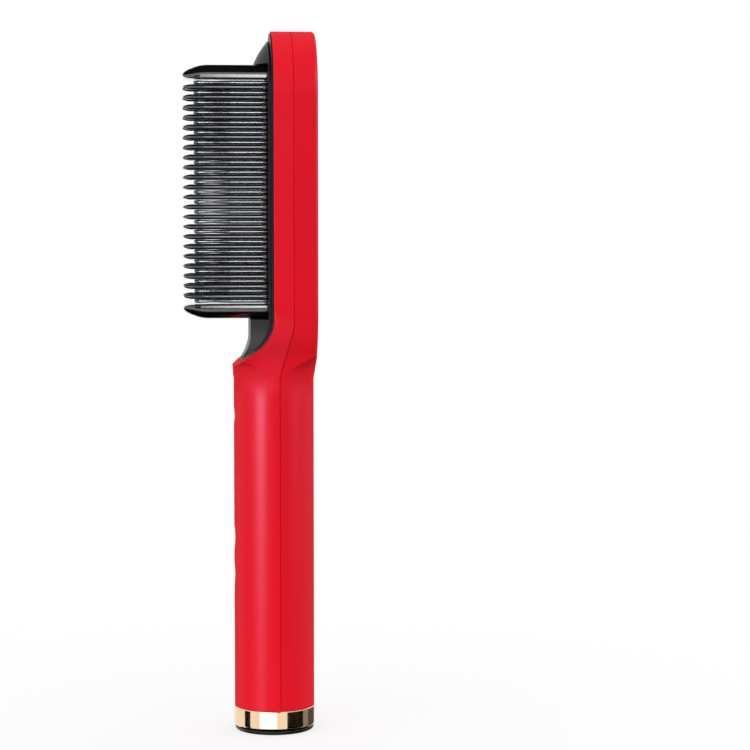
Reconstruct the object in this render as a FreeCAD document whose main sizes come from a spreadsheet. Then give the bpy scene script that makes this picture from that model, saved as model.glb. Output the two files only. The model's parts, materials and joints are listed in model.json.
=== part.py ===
"""Cordless heated styling brush: a two-half shell with a comb head, buttons and a rechargeable cell.

Millimetres. The origin is the centre of the flat bottom end, +Z runs up the handle, the comb and
the buttons face -Y and the trimmed back of the head faces +Y.
"""
import FreeCAD, Part
import math
import os
import Sketcher

SIZES = {
    # Whole brush
    "overall_height": 275.0,
    "handle_radius": 15.75,
    "shell_wall": 1.8,
    "fit_gap": 0.1,
    # Bottom end: black cap and metal ring
    "end_lip_height": 1.5,
    "end_lip_inset": 0.5,
    "end_lip_round": 1.0,
    "end_ring_height": 8.0,
    "end_ring_proud": 0.35,
    "end_ring_wall": 1.7,
    "end_ring_round": 0.5,
    "end_cap_floor": 2.6,
    "end_cap_wall": 1.6,
    "end_cap_spigot": 6.5,
    # Head and neck
    "head_radius": 25.5,
    "head_front_depth": 1.0,
    "head_back_proud": 0.25,
    "head_back_wall": 3.6,
    "head_edge_round": 1.3,
    "neck_side_proud": 0.25,
    "neck_round": 15.0,
    "flare_drop": 28.5,
    "flare_round": 8.5,
    "scoop_start_drop": 22.7,
    "scoop_corner_drop": 12.0,
    "scoop_round": 16.0,
    "parting_handle": 1.5,
    "parting_head": 6.5,
    "parting_low_drop": 27.0,
    "parting_high_drop": 8.0,
    "seam_width": 0.25,
    "seam_depth": 0.5,
    # Back trim
    "trim_recess": 1.8,
    "trim_margin": 1.5,
    "trim_width": 4.8,
    "trim_sink": 0.15,
    "trim_bevel": 0.9,
    "panel_edge_drop": 1.1,
    "panel_crown": 1.0,
    # Comb
    "comb_length": 98.4,
    "comb_round_reach": 16.4,
    "comb_rise": 4.0,
    "tooth_count": 22,
    "tooth_thickness": 2.1,
    "tooth_inner_x": 7.0,
    "tooth_depth": 3.3,
    "tooth_reach": 35.3,
    "tooth_round": 1.0,
    "tooth_shoulder_length": 3.6,
    "tooth_shoulder_inset": 0.3,
    "tooth_tip_length": 2.7,
    "tooth_tip_inset": 0.6,
    "end_wall_thickness": 5.2,
    "end_wall_tip_inset": 3.7,
    "end_wall_round_length": 8.7,
    "end_wall_tip": 0.7,
    "end_wall_point": 6.3,
    "end_wall_edge": 2.2,
    "comb_flange_half_width": 13.5,
    "comb_flange_overlap": 4.0,
    "comb_flange_thickness": 2.0,
    "comb_plinth_margin": 0.8,
    "fin_half_width": 6.0,
    "fin_thickness": 1.7,
    "fin_waist": 1.26,
    "fin_waist_length": 13.0,
    "fin_reach": 31.1,
    "fin_tip_round": 0.6,
    "fin_edge": 0.8,
    "fin_end_gap": 0.767,
    "slot_clearance": 0.5,
    # Bezel round the comb
    "bezel_margin": 0.8,
    "bezel_thickness": 1.5,
    "bezel_skirt_depth": 3.5,
    "bezel_skirt_wall": 1.5,
    "bezel_window_gap": 0.2,
    "bezel_rim": 0.5,
    "bezel_band": 3.2,
    "bezel_roof_reach": 5.1,
    "bezel_roof_rise": 8.9,
    "bezel_roof_sink": 5.9,
    "bezel_roof_land": 0.4,
    "bezel_roof_round": 30.0,
    "bezel_tail_half_width": 13.9,
    "bezel_tail_draft": 3.0,
    "bezel_tail_drop": 20.3,
    "bezel_tail_reach": 13.4,
    "bezel_low_reach": 9.5,
    "bezel_tail_rise": 8.7,
    "bezel_tail_round": 15.5,
    # Heater stack
    "bar_half_width": 9.5,
    "bar_thickness": 4.0,
    "bar_overrun": 2.3,
    "bar_air_gap": 0.6,
    "heater_half_width": 5.5,
    "heater_thickness": 1.6,
    "heater_end_gap": 5.7,
    "heater_gap": 2.0,
    "heater_count": 3,
    "sheet_half_width": 6.2,
    "sheet_thickness": 0.3,
    "clamp_thickness": 0.8,
    "carrier_wall": 3.4,
    "carrier_end_wall": 2.6,
    "carrier_ledge": 1.0,
    "carrier_room": 0.5,
    "carrier_ear_reach": 6.0,
    "carrier_ear_root": 1.0,
    "carrier_ear_height": 8.0,
    "carrier_ear_thickness": 2.0,
    "carrier_ear_inset": 26.7,
    "carrier_notch_half_width": 8.8,
    "sensor_x": 7.5,
    "sensor_radius": 0.9,
    "sensor_length": 6.0,
    "fuse_length": 9.0,
    # Fasteners
    "screw_radius": 1.0,
    "screw_head_radius": 1.9,
    "screw_head_height": 1.3,
    "screw_boss_radius": 2.3,
    "screw_bite": 4.5,
    "head_screw_radius": 1.25,
    "head_screw_head_radius": 2.4,
    "head_screw_head_height": 1.8,
    "head_boss_radius": 3.0,
    "head_screw_x": 18.6,
    "head_screw_inset": 14.2,
    "clamp_screw_inset": 9.2,
    # Buttons and control board
    "power_drop": 42.9,
    "layout_height": 167.5,
    "plus_level": 76.0,
    "minus_level": 61.3,
    "power_dish_radius": 3.9,
    "power_dish_depth": 0.8,
    "plus_dish_radius": 5.2,
    "plus_dish_depth": 1.2,
    "minus_dish_radius": 4.8,
    "minus_dish_depth": 0.9,
    "button_radius": 3.2,
    "button_gap": 0.15,
    "button_step": 0.15,
    "button_flange_radius": 4.2,
    "button_flange_height": 1.0,
    "button_travel": 0.4,
    "flange_room": 0.5,
    "switch_side": 6.0,
    "switch_height": 3.1,
    "plunger_radius": 1.6,
    "plunger_proud": 0.8,
    "plunger_depth": 0.7,
    "plunger_gap": 0.1,
    "board_thickness": 1.6,
    "board_edge_gap": 1.0,
    "board_margin": 9.0,
    "board_screw_edge": 2.9,
    "board_screw_inset": 3.5,
    "lamp_count": 5,
    "lamp_radius": 0.9,
    "guide_half_width": 2.0,
    "guide_thickness": 1.0,
    "led_width": 2.0,
    "led_height": 0.8,
    "chip_side": 7.0,
    "chip_height": 1.0,
    "chip_drop": 72.0,
    "capacitor_radius": 3.0,
    "capacitor_height": 6.0,
    "capacitor_drop": 63.5,
    "mosfet_half_width": 3.3,
    "mosfet_height": 2.4,
    "mosfet_length": 6.5,
    "mosfet_drop": 54.0,
    # Cell and charging
    "cell_top_drop": 80.5,
    "cell_gap": 0.35,
    "cell_start": 22.0,
    "cradle_gap": 0.15,
    "cradle_wall": 0.9,
    "cradle_end": 1.5,
    "cradle_front": 1.0,
    "tab_thickness": 0.3,
    "tab_half_width": 4.0,
    "charge_board_side_gap": 3.75,
    "charge_board_thickness": 1.2,
    "charge_board_length": 15.0,
    "guide_rib_width": 2.0,
    "guide_rib_room": 4.03,
    "guide_rib_height": 5.0,
    "socket_half_width": 4.47,
    "socket_half_height": 1.58,
    "socket_length": 7.4,
    "socket_recess": 0.5,
    "socket_wall": 0.35,
    "socket_depth": 6.0,
    "tongue_half_width": 3.3,
    "tongue_half_height": 0.35,
    # Inner leads
    "heater_lead_radius": 0.7,
    "heater_lead_x": 2.6,
    "sensor_lead_radius": 0.4,
    "sensor_lead_gap": 0.7214,
    "lead_spacing": 2.0,
    "lead_bend": 5.0,
    "lead_top_drop": 22.0,
    "lead_slope": 13.0,
    "lead_tail": 7.0,
    "lead_board_gap": 0.2,
    "cell_lead_radius": 0.6,
    "cell_lead_start_x": 3.0,
    "cell_lead_wall_gap": 2.65,
    "cell_lead_side_y": -1.0,
    "cell_lead_edge": 3.7,
    "cell_lead_drop": 2.8,
    "cell_lead_climb": 7.5,
    "cell_lead_tail": 6.0,
    "cell_lead_bend": 2.4,
    "charge_lead_inset": 3.0,
    "charge_lead_start": 12.0,
    "charge_lead_edge": 1.9,
}

FLARE_SINE = 0.8
FLARE_COSINE = 0.6
FLARE_RUN = 24.0
BEYOND = 60.0
CUT_OVERRUN = 5.0
OVERCUT = 1.0
LAMP_SPACES = 8
SCOOP_OVERRUN = 3

FRONT = FreeCAD.Rotation(FreeCAD.Vector(1, 0, 0), 90)
UPRIGHT = FreeCAD.Rotation()

doc = FreeCAD.newDocument("heated_styling_brush")
sheet = doc.addObject("Spreadsheet::Sheet", "sheet")
nodes = {}


class Size:
    """A number together with the sheet expression that it comes from."""

    def __init__(self, number, text):
        self.number = number
        self.text = text

    def mixed(self, other, sign, number):
        return Size(number, f"({self.text} {sign} {as_size(other).text})")

    def __add__(self, other):
        return self.mixed(other, "+", self.number + as_size(other).number)

    def __sub__(self, other):
        return self.mixed(other, "-", self.number - as_size(other).number)

    def __mul__(self, other):
        return self.mixed(other, "*", self.number * as_size(other).number)

    def __truediv__(self, other):
        return self.mixed(other, "/", self.number / as_size(other).number)

    def __radd__(self, other):
        return as_size(other) + self

    def __rsub__(self, other):
        return as_size(other) - self

    def __rmul__(self, other):
        return as_size(other) * self

    def __neg__(self):
        return Size(-self.number, f"(-1 * {self.text})")

    def root(self):
        return Size(self.number ** 0.5, f"sqrt({self.text})")

    def slope(self):
        return Size(math.degrees(math.atan(self.number)), f"atan({self.text})")


def as_size(value):
    """A plain number counts as a size that no cell drives."""
    return value if isinstance(value, Size) else Size(float(value), f"({float(value)!r})")


class Sizes:
    """The driving sizes by name, each bound to its own cell of the sheet."""

    def __init__(self, table):
        for row, (name, number) in enumerate(table.items(), start=1):
            sheet.set(f"A{row}", name)
            sheet.set(f"B{row}", str(number))
            sheet.setAlias(f"B{row}", name)
            setattr(self, name, Size(float(number), f"sheet.{name}"))


size = Sizes(SIZES)
doc.recompute()


class Levels:
    """Places that several pieces share, worked out from the driving sizes."""

    handle_bottom = size.end_lip_height + size.end_ring_height
    bore_radius = size.handle_radius - size.shell_wall
    spigot_radius = bore_radius - size.fit_gap
    cap_inside = spigot_radius - size.end_cap_wall
    head_straight = size.comb_length - size.comb_round_reach
    head_top_centre = size.overall_height - size.head_radius
    head_low_centre = head_top_centre - head_straight
    head_front = -size.head_front_depth
    head_back = size.handle_radius + size.head_back_proud
    back_inside = head_back - size.head_back_wall
    trim_floor = head_back - size.trim_recess
    trim_radius = size.head_radius - size.trim_margin
    flare_start = head_low_centre - size.flare_drop
    parting_high = head_low_centre - size.parting_high_drop
    bezel_front = head_front - size.bezel_thickness
    bezel_root = bezel_front + size.bezel_thickness / 2
    boss_root = head_front - size.bezel_rim / 2
    comb_centre = (head_top_centre + head_low_centre) / 2 + size.comb_rise
    comb_low = comb_centre - size.comb_length / 2
    comb_high = comb_centre + size.comb_length / 2
    comb_half_width = size.tooth_inner_x + size.tooth_depth
    fin_end = size.end_wall_thickness + size.fin_end_gap + size.fin_thickness / 2
    tooth_pitch = (size.comb_length - fin_end * 2) / size.tooth_count
    window_half_width = comb_half_width + size.comb_plinth_margin + size.bezel_window_gap
    window_low = comb_low - size.bezel_window_gap
    window_high = comb_high + size.bezel_window_gap
    plinth_front = bezel_front + size.fit_gap
    flange_back = head_front + size.comb_flange_thickness
    flange_middle = flange_back - size.comb_flange_thickness / 2
    bar_front = flange_back + size.bar_air_gap
    bar_back = bar_front + size.bar_thickness
    bar_half_length = size.comb_length / 2 + size.bar_overrun
    heater_spacing = (size.comb_length - size.heater_end_gap * 2) / size.heater_count
    heater_length = heater_spacing - size.heater_gap
    heater_back = bar_back + size.heater_thickness
    carrier_back = heater_back + size.sheet_thickness
    clamp_back = carrier_back + size.clamp_thickness
    carrier_half_width = size.bar_half_width + size.fit_gap + size.carrier_wall
    carrier_half_length = bar_half_length + size.fit_gap + size.carrier_end_wall
    carrier_ear_x = carrier_half_width + size.carrier_ear_reach / 2
    carrier_low = comb_centre - carrier_half_length
    sensor_y = bar_back + size.sensor_radius + size.fit_gap
    power_level = head_low_centre - size.power_drop
    plus_level = head_low_centre * size.plus_level / size.layout_height
    minus_level = head_low_centre * size.minus_level / size.layout_height
    lamp_level = (power_level + plus_level) / 2
    lamp_pitch = (power_level - plus_level) / LAMP_SPACES
    flange_front = -bore_radius + size.flange_room + size.button_flange_height
    flange_rear = flange_front + size.button_flange_height
    switch_front = flange_rear + size.plunger_proud
    board_front = switch_front + size.switch_height
    board_back = board_front + size.board_thickness
    board_reach = bore_radius - size.board_edge_gap
    board_half_width = (board_reach * board_reach - board_front * board_front).root()
    board_low = minus_level - size.board_margin
    board_high = power_level + size.board_margin
    cell_front = board_back + size.cell_gap
    cell_rear = spigot_radius - size.cradle_wall - size.cradle_gap
    cell_radius = (cell_rear - cell_front) / 2
    cell_y = cell_front + cell_radius
    cell_end = head_low_centre - size.cell_top_drop
    cell_length = cell_end - size.cell_start
    charge_board_half_width = cap_inside - size.charge_board_side_gap
    board_room = charge_board_half_width - size.socket_half_width
    board_grip = board_room * size.guide_rib_width / size.guide_rib_room
    board_screw_x = board_half_width - size.board_screw_edge
    sensor_lead_x = board_screw_x - size.screw_head_radius - size.sensor_lead_gap - size.sensor_lead_radius
    heater_lead_x = sensor_lead_x - size.lead_spacing


at = Levels


def bind(thing, prop, value):
    """Tie a property to the sheet."""
    thing.setExpression(prop, as_size(value).text)


def place(thing, x, y, z, rotation=UPRIGHT):
    """Put a primitive at a point, each coordinate tied to the sheet."""
    point = [as_size(value) for value in (x, y, z)]
    thing.Placement = FreeCAD.Placement(FreeCAD.Vector(*(p.number for p in point)), rotation)
    for axis, value in zip("xyz", point):
        bind(thing, f"Placement.Base.{axis}", value)
    return thing


def box(name, x, y, z):
    """A block between two limits on each axis, each given as a (low, high) pair."""
    block = doc.addObject("Part::Box", name)
    for prop, (low, high) in zip(("Length", "Width", "Height"), (x, y, z)):
        bind(block, prop, as_size(high) - low)
    return place(block, x[0], y[0], z[0])


def rod(name, radius, length, x, y, z, rotation=UPRIGHT):
    """A cylinder from a point along the turned Z axis."""
    bar = doc.addObject("Part::Cylinder", name)
    bind(bar, "Radius", radius)
    bind(bar, "Height", length)
    return place(bar, x, y, z, rotation)


def pin(name, radius, front, rear, x, z):
    """A cylinder along Y between its front and rear faces."""
    return rod(name, radius, as_size(rear) - front, x, rear, z, FRONT)


def ball(name, radius, x, y, z):
    """A sphere about a point."""
    sphere = doc.addObject("Part::Sphere", name)
    bind(sphere, "Radius", radius)
    return place(sphere, x, y, z)


def joined(name, things, kind="Part::MultiFuse"):
    """Several solids as one: fused, their common part, or kept apart in a group."""
    whole = doc.addObject(kind, name)
    if kind == "Part::Compound":
        whole.Links = things
    else:
        whole.Shapes = things
    return whole


def common(name, things):
    return joined(name, things, "Part::MultiCommon")


def group(name, things):
    return joined(name, things, "Part::Compound")


def cut(name, base, tools):
    """The base less its tools."""
    rest = doc.addObject("Part::Cut", name)
    rest.Base = base
    rest.Tool = tools[0] if len(tools) == 1 else joined(f"{name}_cutter", tools)
    return rest


def new_body(name):
    return doc.addObject("PartDesign::Body", name)


def origin_part(body, role):
    return next(part for part in body.Origin.OriginFeatures if part.Role == role)


def outline(body, name, plane, corners, arcs=None, offset=0.0):
    """A closed sketch through corners; arcs gives an edge's radius, negative where it runs clockwise."""
    arcs = arcs or {}
    sketch = body.newObject("Sketcher::SketchObject", name)
    sketch.AttachmentSupport = [(origin_part(body, plane), "")]
    sketch.MapMode = "FlatFace"
    bind(sketch, "AttachmentOffset.Base.z", offset)
    corners = [(as_size(u), as_size(v)) for u, v in corners]
    points = [FreeCAD.Vector(u.number, v.number, 0) for u, v in corners]
    ends = []
    for index, start in enumerate(points):
        finish = points[(index + 1) % len(points)]
        bend = arcs.get(index)
        sketch.addGeometry(edge_between(start, finish, bend))
        ends.append((2, 1) if bend is not None and bend.number < 0 else (1, 2))
    for index, (first, last) in enumerate(ends):
        following = (index + 1) % len(points)
        sketch.addConstraint(Sketcher.Constraint("Coincident", index, last, following, ends[following][0]))
    for index, (u, v) in enumerate(corners):
        for kind, value in (("DistanceX", u), ("DistanceY", v)):
            drive(sketch, Sketcher.Constraint(kind, -1, 1, index, ends[index][0], value.number), value)
    for index, bend in arcs.items():
        radius = bend if bend.number > 0 else -bend
        drive(sketch, Sketcher.Constraint("Radius", index, radius.number), radius)
    return sketch


def edge_between(start, finish, bend):
    """A straight edge, or an arc under a half circle that keeps its centre left for a positive bend."""
    if bend is None:
        return Part.LineSegment(start, finish)
    chord = finish - start
    radius = abs(bend.number)
    left = FreeCAD.Vector(-chord.y, chord.x, 0).normalize()
    height = (radius ** 2 - (chord.Length / 2) ** 2) ** 0.5
    centre = (start + finish) * 0.5 + left * (height if bend.number > 0 else -height)
    circle = Part.Circle(centre, FreeCAD.Vector(0, 0, 1), radius)
    first, last = (start, finish) if bend.number > 0 else (finish, start)
    return Part.ArcOfCircle(circle, circle.parameter(first), circle.parameter(last))


def drive(sketch, constraint, value):
    """Add a dimension and tie it to the sheet."""
    number = sketch.addConstraint(constraint)
    bind(sketch, f"Constraints[{number}]", value)


def pad(body, sketch, length, both=False, reverse=False, draft=None):
    """A sketch raised to a length; draft leans its sides inwards by that angle."""
    feature = body.newObject("PartDesign::Pad", f"{sketch.Name}_pad")
    feature.Profile = sketch
    feature.SideType = "Symmetric" if both else "One side"
    feature.Reversed = reverse
    bind(feature, "Length", length)
    if draft is not None:
        bind(feature, "TaperAngle", -draft)
    return feature


def pocket(body, sketch, length, both=False, reverse=False):
    feature = body.newObject("PartDesign::Pocket", f"{sketch.Name}_pocket")
    feature.Profile = sketch
    feature.SideType = "Symmetric" if both else "One side"
    feature.Reversed = reverse
    bind(feature, "Length", length)
    return feature


def revolved(body, sketch, role):
    feature = body.newObject("PartDesign::Revolution", f"{sketch.Name}_turn")
    feature.Profile = sketch
    feature.ReferenceAxis = (origin_part(body, role), [""])
    return feature


def repeated(thing, step, count):
    """Linked copies of a solid up the Z axis, a step apart."""
    copies = []
    for number in range(count):
        copy = doc.addObject("App::Link", f"{thing.Name}_{number}")
        copy.LinkedObject = thing
        bind(copy, "Placement.Base.z", step * number)
        copies.append(copy)
    return copies


def eased(body, base, kind, amount, chosen):
    """Fillet or chamfer the edges of a feature that the test picks."""
    doc.recompute()
    names = [f"Edge{number}" for number, edge in enumerate(base.Shape.Edges, start=1) if chosen(edge)]
    feature = body.newObject(kind, f"{base.Name}_eased")
    feature.Base = (base, names)
    bind(feature, "Radius" if kind.endswith("Fillet") else "Size", amount)
    return feature


def on_level(axis, level):
    """A test for edges that lie in a plane square to an axis."""
    return lambda edge: all(abs(getattr(v.Point, axis) - level.number) < 1e-4 for v in edge.Vertexes)


def stadium(radius, low, high):
    """Corners and arcs of an upright slot shape, with its end arcs in quarters."""
    corners = [
        (radius, low),
        (radius, high),
        (0, high + radius),
        (-radius, high),
        (-radius, low),
        (0, low - radius),
    ]
    return corners, {1: radius, 2: radius, 4: radius, 5: radius}


def arch(radius, foot, centre):
    """Corners and arcs of an upright arch on a straight foot."""
    corners = [(radius, foot), (radius, centre), (0, centre + radius), (-radius, centre), (-radius, foot)]
    return corners, {1: radius, 2: radius}


def rectangle(x, y):
    """Corners between two limits on each axis."""
    return [(x[0], y[0]), (x[1], y[0]), (x[1], y[1]), (x[0], y[1])]


def rounded_rectangle(x, y, corner):
    """Corners and arcs of a rectangle between two limits on each axis, with round corners."""
    left, right = x
    low, high = y
    corners = [
        (left + corner, low),
        (right - corner, low),
        (right, low + corner),
        (right, high - corner),
        (right - corner, high),
        (left + corner, high),
        (left, high - corner),
        (left, low + corner),
    ]
    return corners, {1: corner, 3: corner, 5: corner, 7: corner}


def keep(name, thing):
    """Name a finished sub-part."""
    thing.Label = name
    nodes[name] = thing
    return thing


# Housing forms

def head_slab(name, inset, back):
    """The outline of the head, neck and handle seen from behind, as deep as the handle."""
    radius = size.head_radius - inset
    side = size.handle_radius + size.neck_side_proud - inset
    hollow = size.neck_round + inset
    reach = side + hollow
    drop = ((radius + hollow) * (radius + hollow) - reach * reach).root()
    meet = radius / (radius + hollow)
    meet_x = reach * meet
    meet_z = at.head_low_centre - drop * meet
    hollow_z = at.head_low_centre - drop
    bottom = at.handle_bottom - CUT_OVERRUN
    corners = [
        (side, bottom),
        (side, hollow_z),
        (meet_x, meet_z),
        (radius, at.head_low_centre),
        (radius, at.head_top_centre),
        (0, at.head_top_centre + radius),
        (-radius, at.head_top_centre),
        (-radius, at.head_low_centre),
        (-meet_x, meet_z),
        (-side, hollow_z),
        (-side, bottom),
    ]
    arcs = {1: -hollow, 2: radius, 4: radius, 5: radius, 7: radius, 8: -hollow}
    body = new_body(name)
    sketch = outline(body, f"{name}_outline", "XZ_Plane", corners, arcs, offset=-back)
    slab = pad(body, sketch, back + size.handle_radius + size.neck_side_proud)
    return body, slab


def handle_flare(name, inset, bottom):
    """The round handle, opening into a wide cone at the neck."""
    radius = size.handle_radius - inset
    bend = size.flare_round + inset
    knee = (radius + bend * (1 - FLARE_COSINE), at.flare_start + bend * FLARE_SINE)
    rim_x = knee[0] + FLARE_RUN * FLARE_SINE / FLARE_COSINE
    rim_z = knee[1] + FLARE_RUN
    top = size.overall_height + CUT_OVERRUN
    corners = [
        (0, bottom),
        (radius, bottom),
        (radius, at.flare_start),
        knee,
        (rim_x, rim_z),
        (rim_x, top),
        (0, top),
    ]
    body = new_body(name)
    revolved(body, outline(body, f"{name}_section", "XZ_Plane", corners, {2: -bend}), "Z_Axis")
    return body


def scoop_region(name, setback):
    """Everything in front of the scooped neck and the flat front of the head."""
    run = size.handle_radius - size.head_front_depth
    rise = size.scoop_start_drop - size.scoop_corner_drop
    slope = (run * run + rise * rise).root()
    tangent = size.scoop_round * run / (slope + rise)
    face = at.head_front + setback
    corner_z = at.head_low_centre - size.scoop_corner_drop
    top = size.overall_height + CUT_OVERRUN
    low = (face - run * SCOOP_OVERRUN, corner_z - rise * SCOOP_OVERRUN)
    start = (face - tangent * run / slope, corner_z - tangent * rise / slope)
    corners = [low, start, (face, corner_z + tangent), (face, top), (low[0], top)]
    body = new_body(name)
    sketch = outline(body, f"{name}_profile", "YZ_Plane", corners, {1: size.scoop_round})
    pad(body, sketch, 2 * BEYOND, both=True)
    return body


def front_side(name, shift):
    """The side of the parting line that belongs to the front shell, moved back by a shift."""
    low = at.head_low_centre - size.parting_low_drop
    corners = [
        (-BEYOND, -CUT_OVERRUN),
        (size.parting_handle + shift, -CUT_OVERRUN),
        (size.parting_handle + shift, low),
        (size.parting_head + shift, at.parting_high),
        (size.parting_head + shift, size.overall_height + CUT_OVERRUN),
        (-BEYOND, size.overall_height + CUT_OVERRUN),
    ]
    body = new_body(name)
    pad(body, outline(body, f"{name}_profile", "YZ_Plane", corners), 2 * BEYOND, both=True)
    return body


def form(name, inset, back, bottom, edge_round=None):
    """The filled form of head, neck and handle, set in from the outer surface."""
    slab, blank = head_slab(f"{name}_slab", inset, back)
    if edge_round is not None:
        eased(slab, blank, "PartDesign::Fillet", edge_round, on_level("y", back))
    turned = common(f"{name}_round", [slab, handle_flare(f"{name}_flare", inset, bottom)])
    return cut(f"{name}_form", turned, [scoop_region(f"{name}_scoop", inset)])


def housing():
    """The outer form, the closed housing as one hollow solid and the groove along its parting line."""
    bottom = at.handle_bottom - OVERCUT
    outer = form("outer", as_size(0), at.head_back, at.handle_bottom, size.head_edge_round)
    inner = form("inner", size.shell_wall, at.back_inside, bottom)
    bore = rod("handle_bore", at.bore_radius, at.flare_start - at.handle_bottom, 0, 0, bottom)
    core = form("seam_core", size.seam_depth, at.head_back - size.seam_depth, bottom - OVERCUT)
    seam = cut("seam", front_side("seam_side", size.seam_width), [core])
    return outer, cut("hollow_housing", outer, [inner, bore]), seam


BUTTONS = {
    "power": (at.power_level, size.power_dish_radius, size.power_dish_depth),
    "plus": (at.plus_level, size.plus_dish_radius, size.plus_dish_depth),
    "minus": (at.minus_level, size.minus_dish_radius, size.minus_dish_depth),
}


def dish(name, key, sunk=0.0):
    """The round hollow that guides a thumb to a button, as a ball that cuts it."""
    level, radius, depth = BUTTONS[key]
    curve = (radius * radius + depth * depth) / (depth * 2)
    return ball(name, curve, 0, sunk - size.handle_radius + depth - curve, level)


def lamp_levels():
    """The rows of indicator lamps, counted from the middle one."""
    count = SIZES["lamp_count"]
    return [at.lamp_level + at.lamp_pitch * (row - (count - 1) / 2) for row in range(count)]


def board_screw_places():
    low = at.board_low + size.board_screw_inset
    high = at.board_high - size.board_screw_inset
    x = at.board_screw_x
    return [(side * x, level) for level in (low, high) for side in (-1, 1)]


def comb_places(x, inset):
    """Four places beside the comb, set in from its ends."""
    half = size.comb_length / 2 - inset
    return [(side * x, at.comb_centre + end * half) for end in (-1, 1) for side in (-1, 1)]


def head_screw_places():
    return comb_places(size.head_screw_x, size.head_screw_inset)


def carrier_screw_places():
    return comb_places(at.carrier_ear_x, size.carrier_ear_inset)


def clamp_screw_places():
    return comb_places(at.carrier_half_width - size.carrier_wall / 2, size.clamp_screw_inset)


def front_shell(outer, hollow, side):
    """The handle front, the scooped neck and the front rim of the head in one moulding."""
    half = common("front_half", [hollow, side])
    window = new_body("head_window")
    radius = size.head_radius - size.shell_wall
    corners, arcs = arch(radius, at.head_low_centre, at.head_top_centre)
    sketch = outline(window, "head_window_outline", "XZ_Plane", corners, arcs, offset=-size.parting_head)
    pad(window, sketch, size.parting_head + BEYOND / 2)
    bosses = [
        pin(f"board_boss_{n}", size.screw_boss_radius, -size.handle_radius, at.board_front, x, z)
        for n, (x, z) in enumerate(board_screw_places())
    ]
    bosses = common("board_bosses", [outer, joined("board_boss_rods", bosses)])
    side = at.carrier_half_width + size.shell_wall
    z = (at.carrier_low - size.carrier_room, at.head_low_centre + OVERCUT)
    holes = [window, box("carrier_window", (-side, side), (-BEYOND, size.parting_head + OVERCUT), z)]
    for key, (level, _, _) in BUTTONS.items():
        holes.append(dish(f"{key}_dish", key))
        radius = size.button_radius + size.button_gap
        front = -size.handle_radius - OVERCUT
        holes.append(pin(f"{key}_hole", radius, front, at.flange_front, 0, level))
    for row, level in enumerate(lamp_levels()):
        radius = size.lamp_radius + size.fit_gap
        front = -size.handle_radius - OVERCUT
        holes.append(pin(f"lamp_hole_{row}", radius, front, at.flange_front, 0, level))
    for n, (x, z) in enumerate(board_screw_places()):
        front = at.board_front - size.screw_bite
        holes.append(pin(f"board_thread_{n}", size.screw_radius, front, at.board_front, x, z))
    return keep("front_shell", cut("front_shell", joined("front_shell_bossed", [half, bosses]), holes))


def back_shell(hollow, side, seam):
    """The handle back and the tub of the head, with the seat of the trim ring sunk in it."""
    half = cut("back_half", hollow, [side])
    seat = new_body("trim_seat")
    corners, arcs = stadium(at.trim_radius + size.fit_gap, at.head_low_centre, at.head_top_centre)
    sketch = outline(seat, "trim_seat_outline", "XZ_Plane", corners, arcs, offset=-at.head_back - OVERCUT)
    pad(seat, sketch, size.trim_recess + OVERCUT)
    bosses = []
    holes = [seat, seam]
    ledge = at.trim_floor - size.fit_gap - size.head_screw_head_height
    for n, (x, z) in enumerate(head_screw_places()):
        bosses.append(pin(f"head_boss_{n}", size.head_boss_radius, size.parting_head, at.trim_floor, x, z))
        shank = size.head_screw_radius + size.fit_gap
        front = size.parting_head - OVERCUT
        rear = at.trim_floor + OVERCUT
        holes.append(pin(f"head_hole_{n}", shank, front, rear, x, z))
        sink = size.head_screw_head_radius + size.fit_gap
        holes.append(pin(f"head_sink_{n}", sink, ledge, rear, x, z))
    return keep("back_shell", cut("back_shell", joined("back_shell_bossed", [half] + bosses), holes))


# Back trim

def back_trim_ring():
    """The bevelled metal ring laid in the back of the head."""
    body = new_body("back_trim_ring")
    corners, arcs = stadium(at.trim_radius, at.head_low_centre, at.head_top_centre)
    top = at.head_back - size.trim_sink
    sketch = outline(body, "trim_outline", "XZ_Plane", corners, arcs, offset=-top)
    band = pad(body, sketch, top - at.trim_floor)
    corners, arcs = stadium(at.trim_radius - size.trim_width, at.head_low_centre, at.head_top_centre)
    sketch = outline(body, "trim_opening", "XZ_Plane", corners, arcs, offset=-top)
    band = pocket(body, sketch, top - at.trim_floor, reverse=True)
    eased(body, band, "PartDesign::Chamfer", size.trim_bevel, on_level("y", top))
    return keep("back_trim_ring", body)


def back_panel():
    """The domed panel inside the trim ring."""
    radius = at.trim_radius - size.trim_width - size.fit_gap
    edge = at.head_back - size.panel_edge_drop
    crest = edge + size.panel_crown
    body = new_body("panel_blank")
    corners, arcs = stadium(radius, at.head_low_centre, at.head_top_centre)
    sketch = outline(body, "panel_outline", "XZ_Plane", corners, arcs, offset=-crest)
    pad(body, sketch, crest - at.trim_floor)
    curve = (radius * radius + size.panel_crown * size.panel_crown) / (size.panel_crown * 2)
    dome = rod("panel_dome", curve, size.overall_height, 0, crest - curve, 0)
    return keep("back_panel", common("back_panel", [body, dome]))


# Comb head

def bezel_outline(radius, drop):
    """Corners and arcs of the bezel seen from the front: a slot shape with a pointed lower end."""
    low = at.head_low_centre
    high = at.head_top_centre
    bend = (radius * radius + drop * drop) / (radius * 2)
    corners = [
        (radius, low),
        (radius, high),
        (0, high + radius),
        (-radius, high),
        (-radius, low),
        (0, low - drop),
    ]
    return corners, {1: radius, 2: radius, 4: bend, 5: bend}


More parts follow.
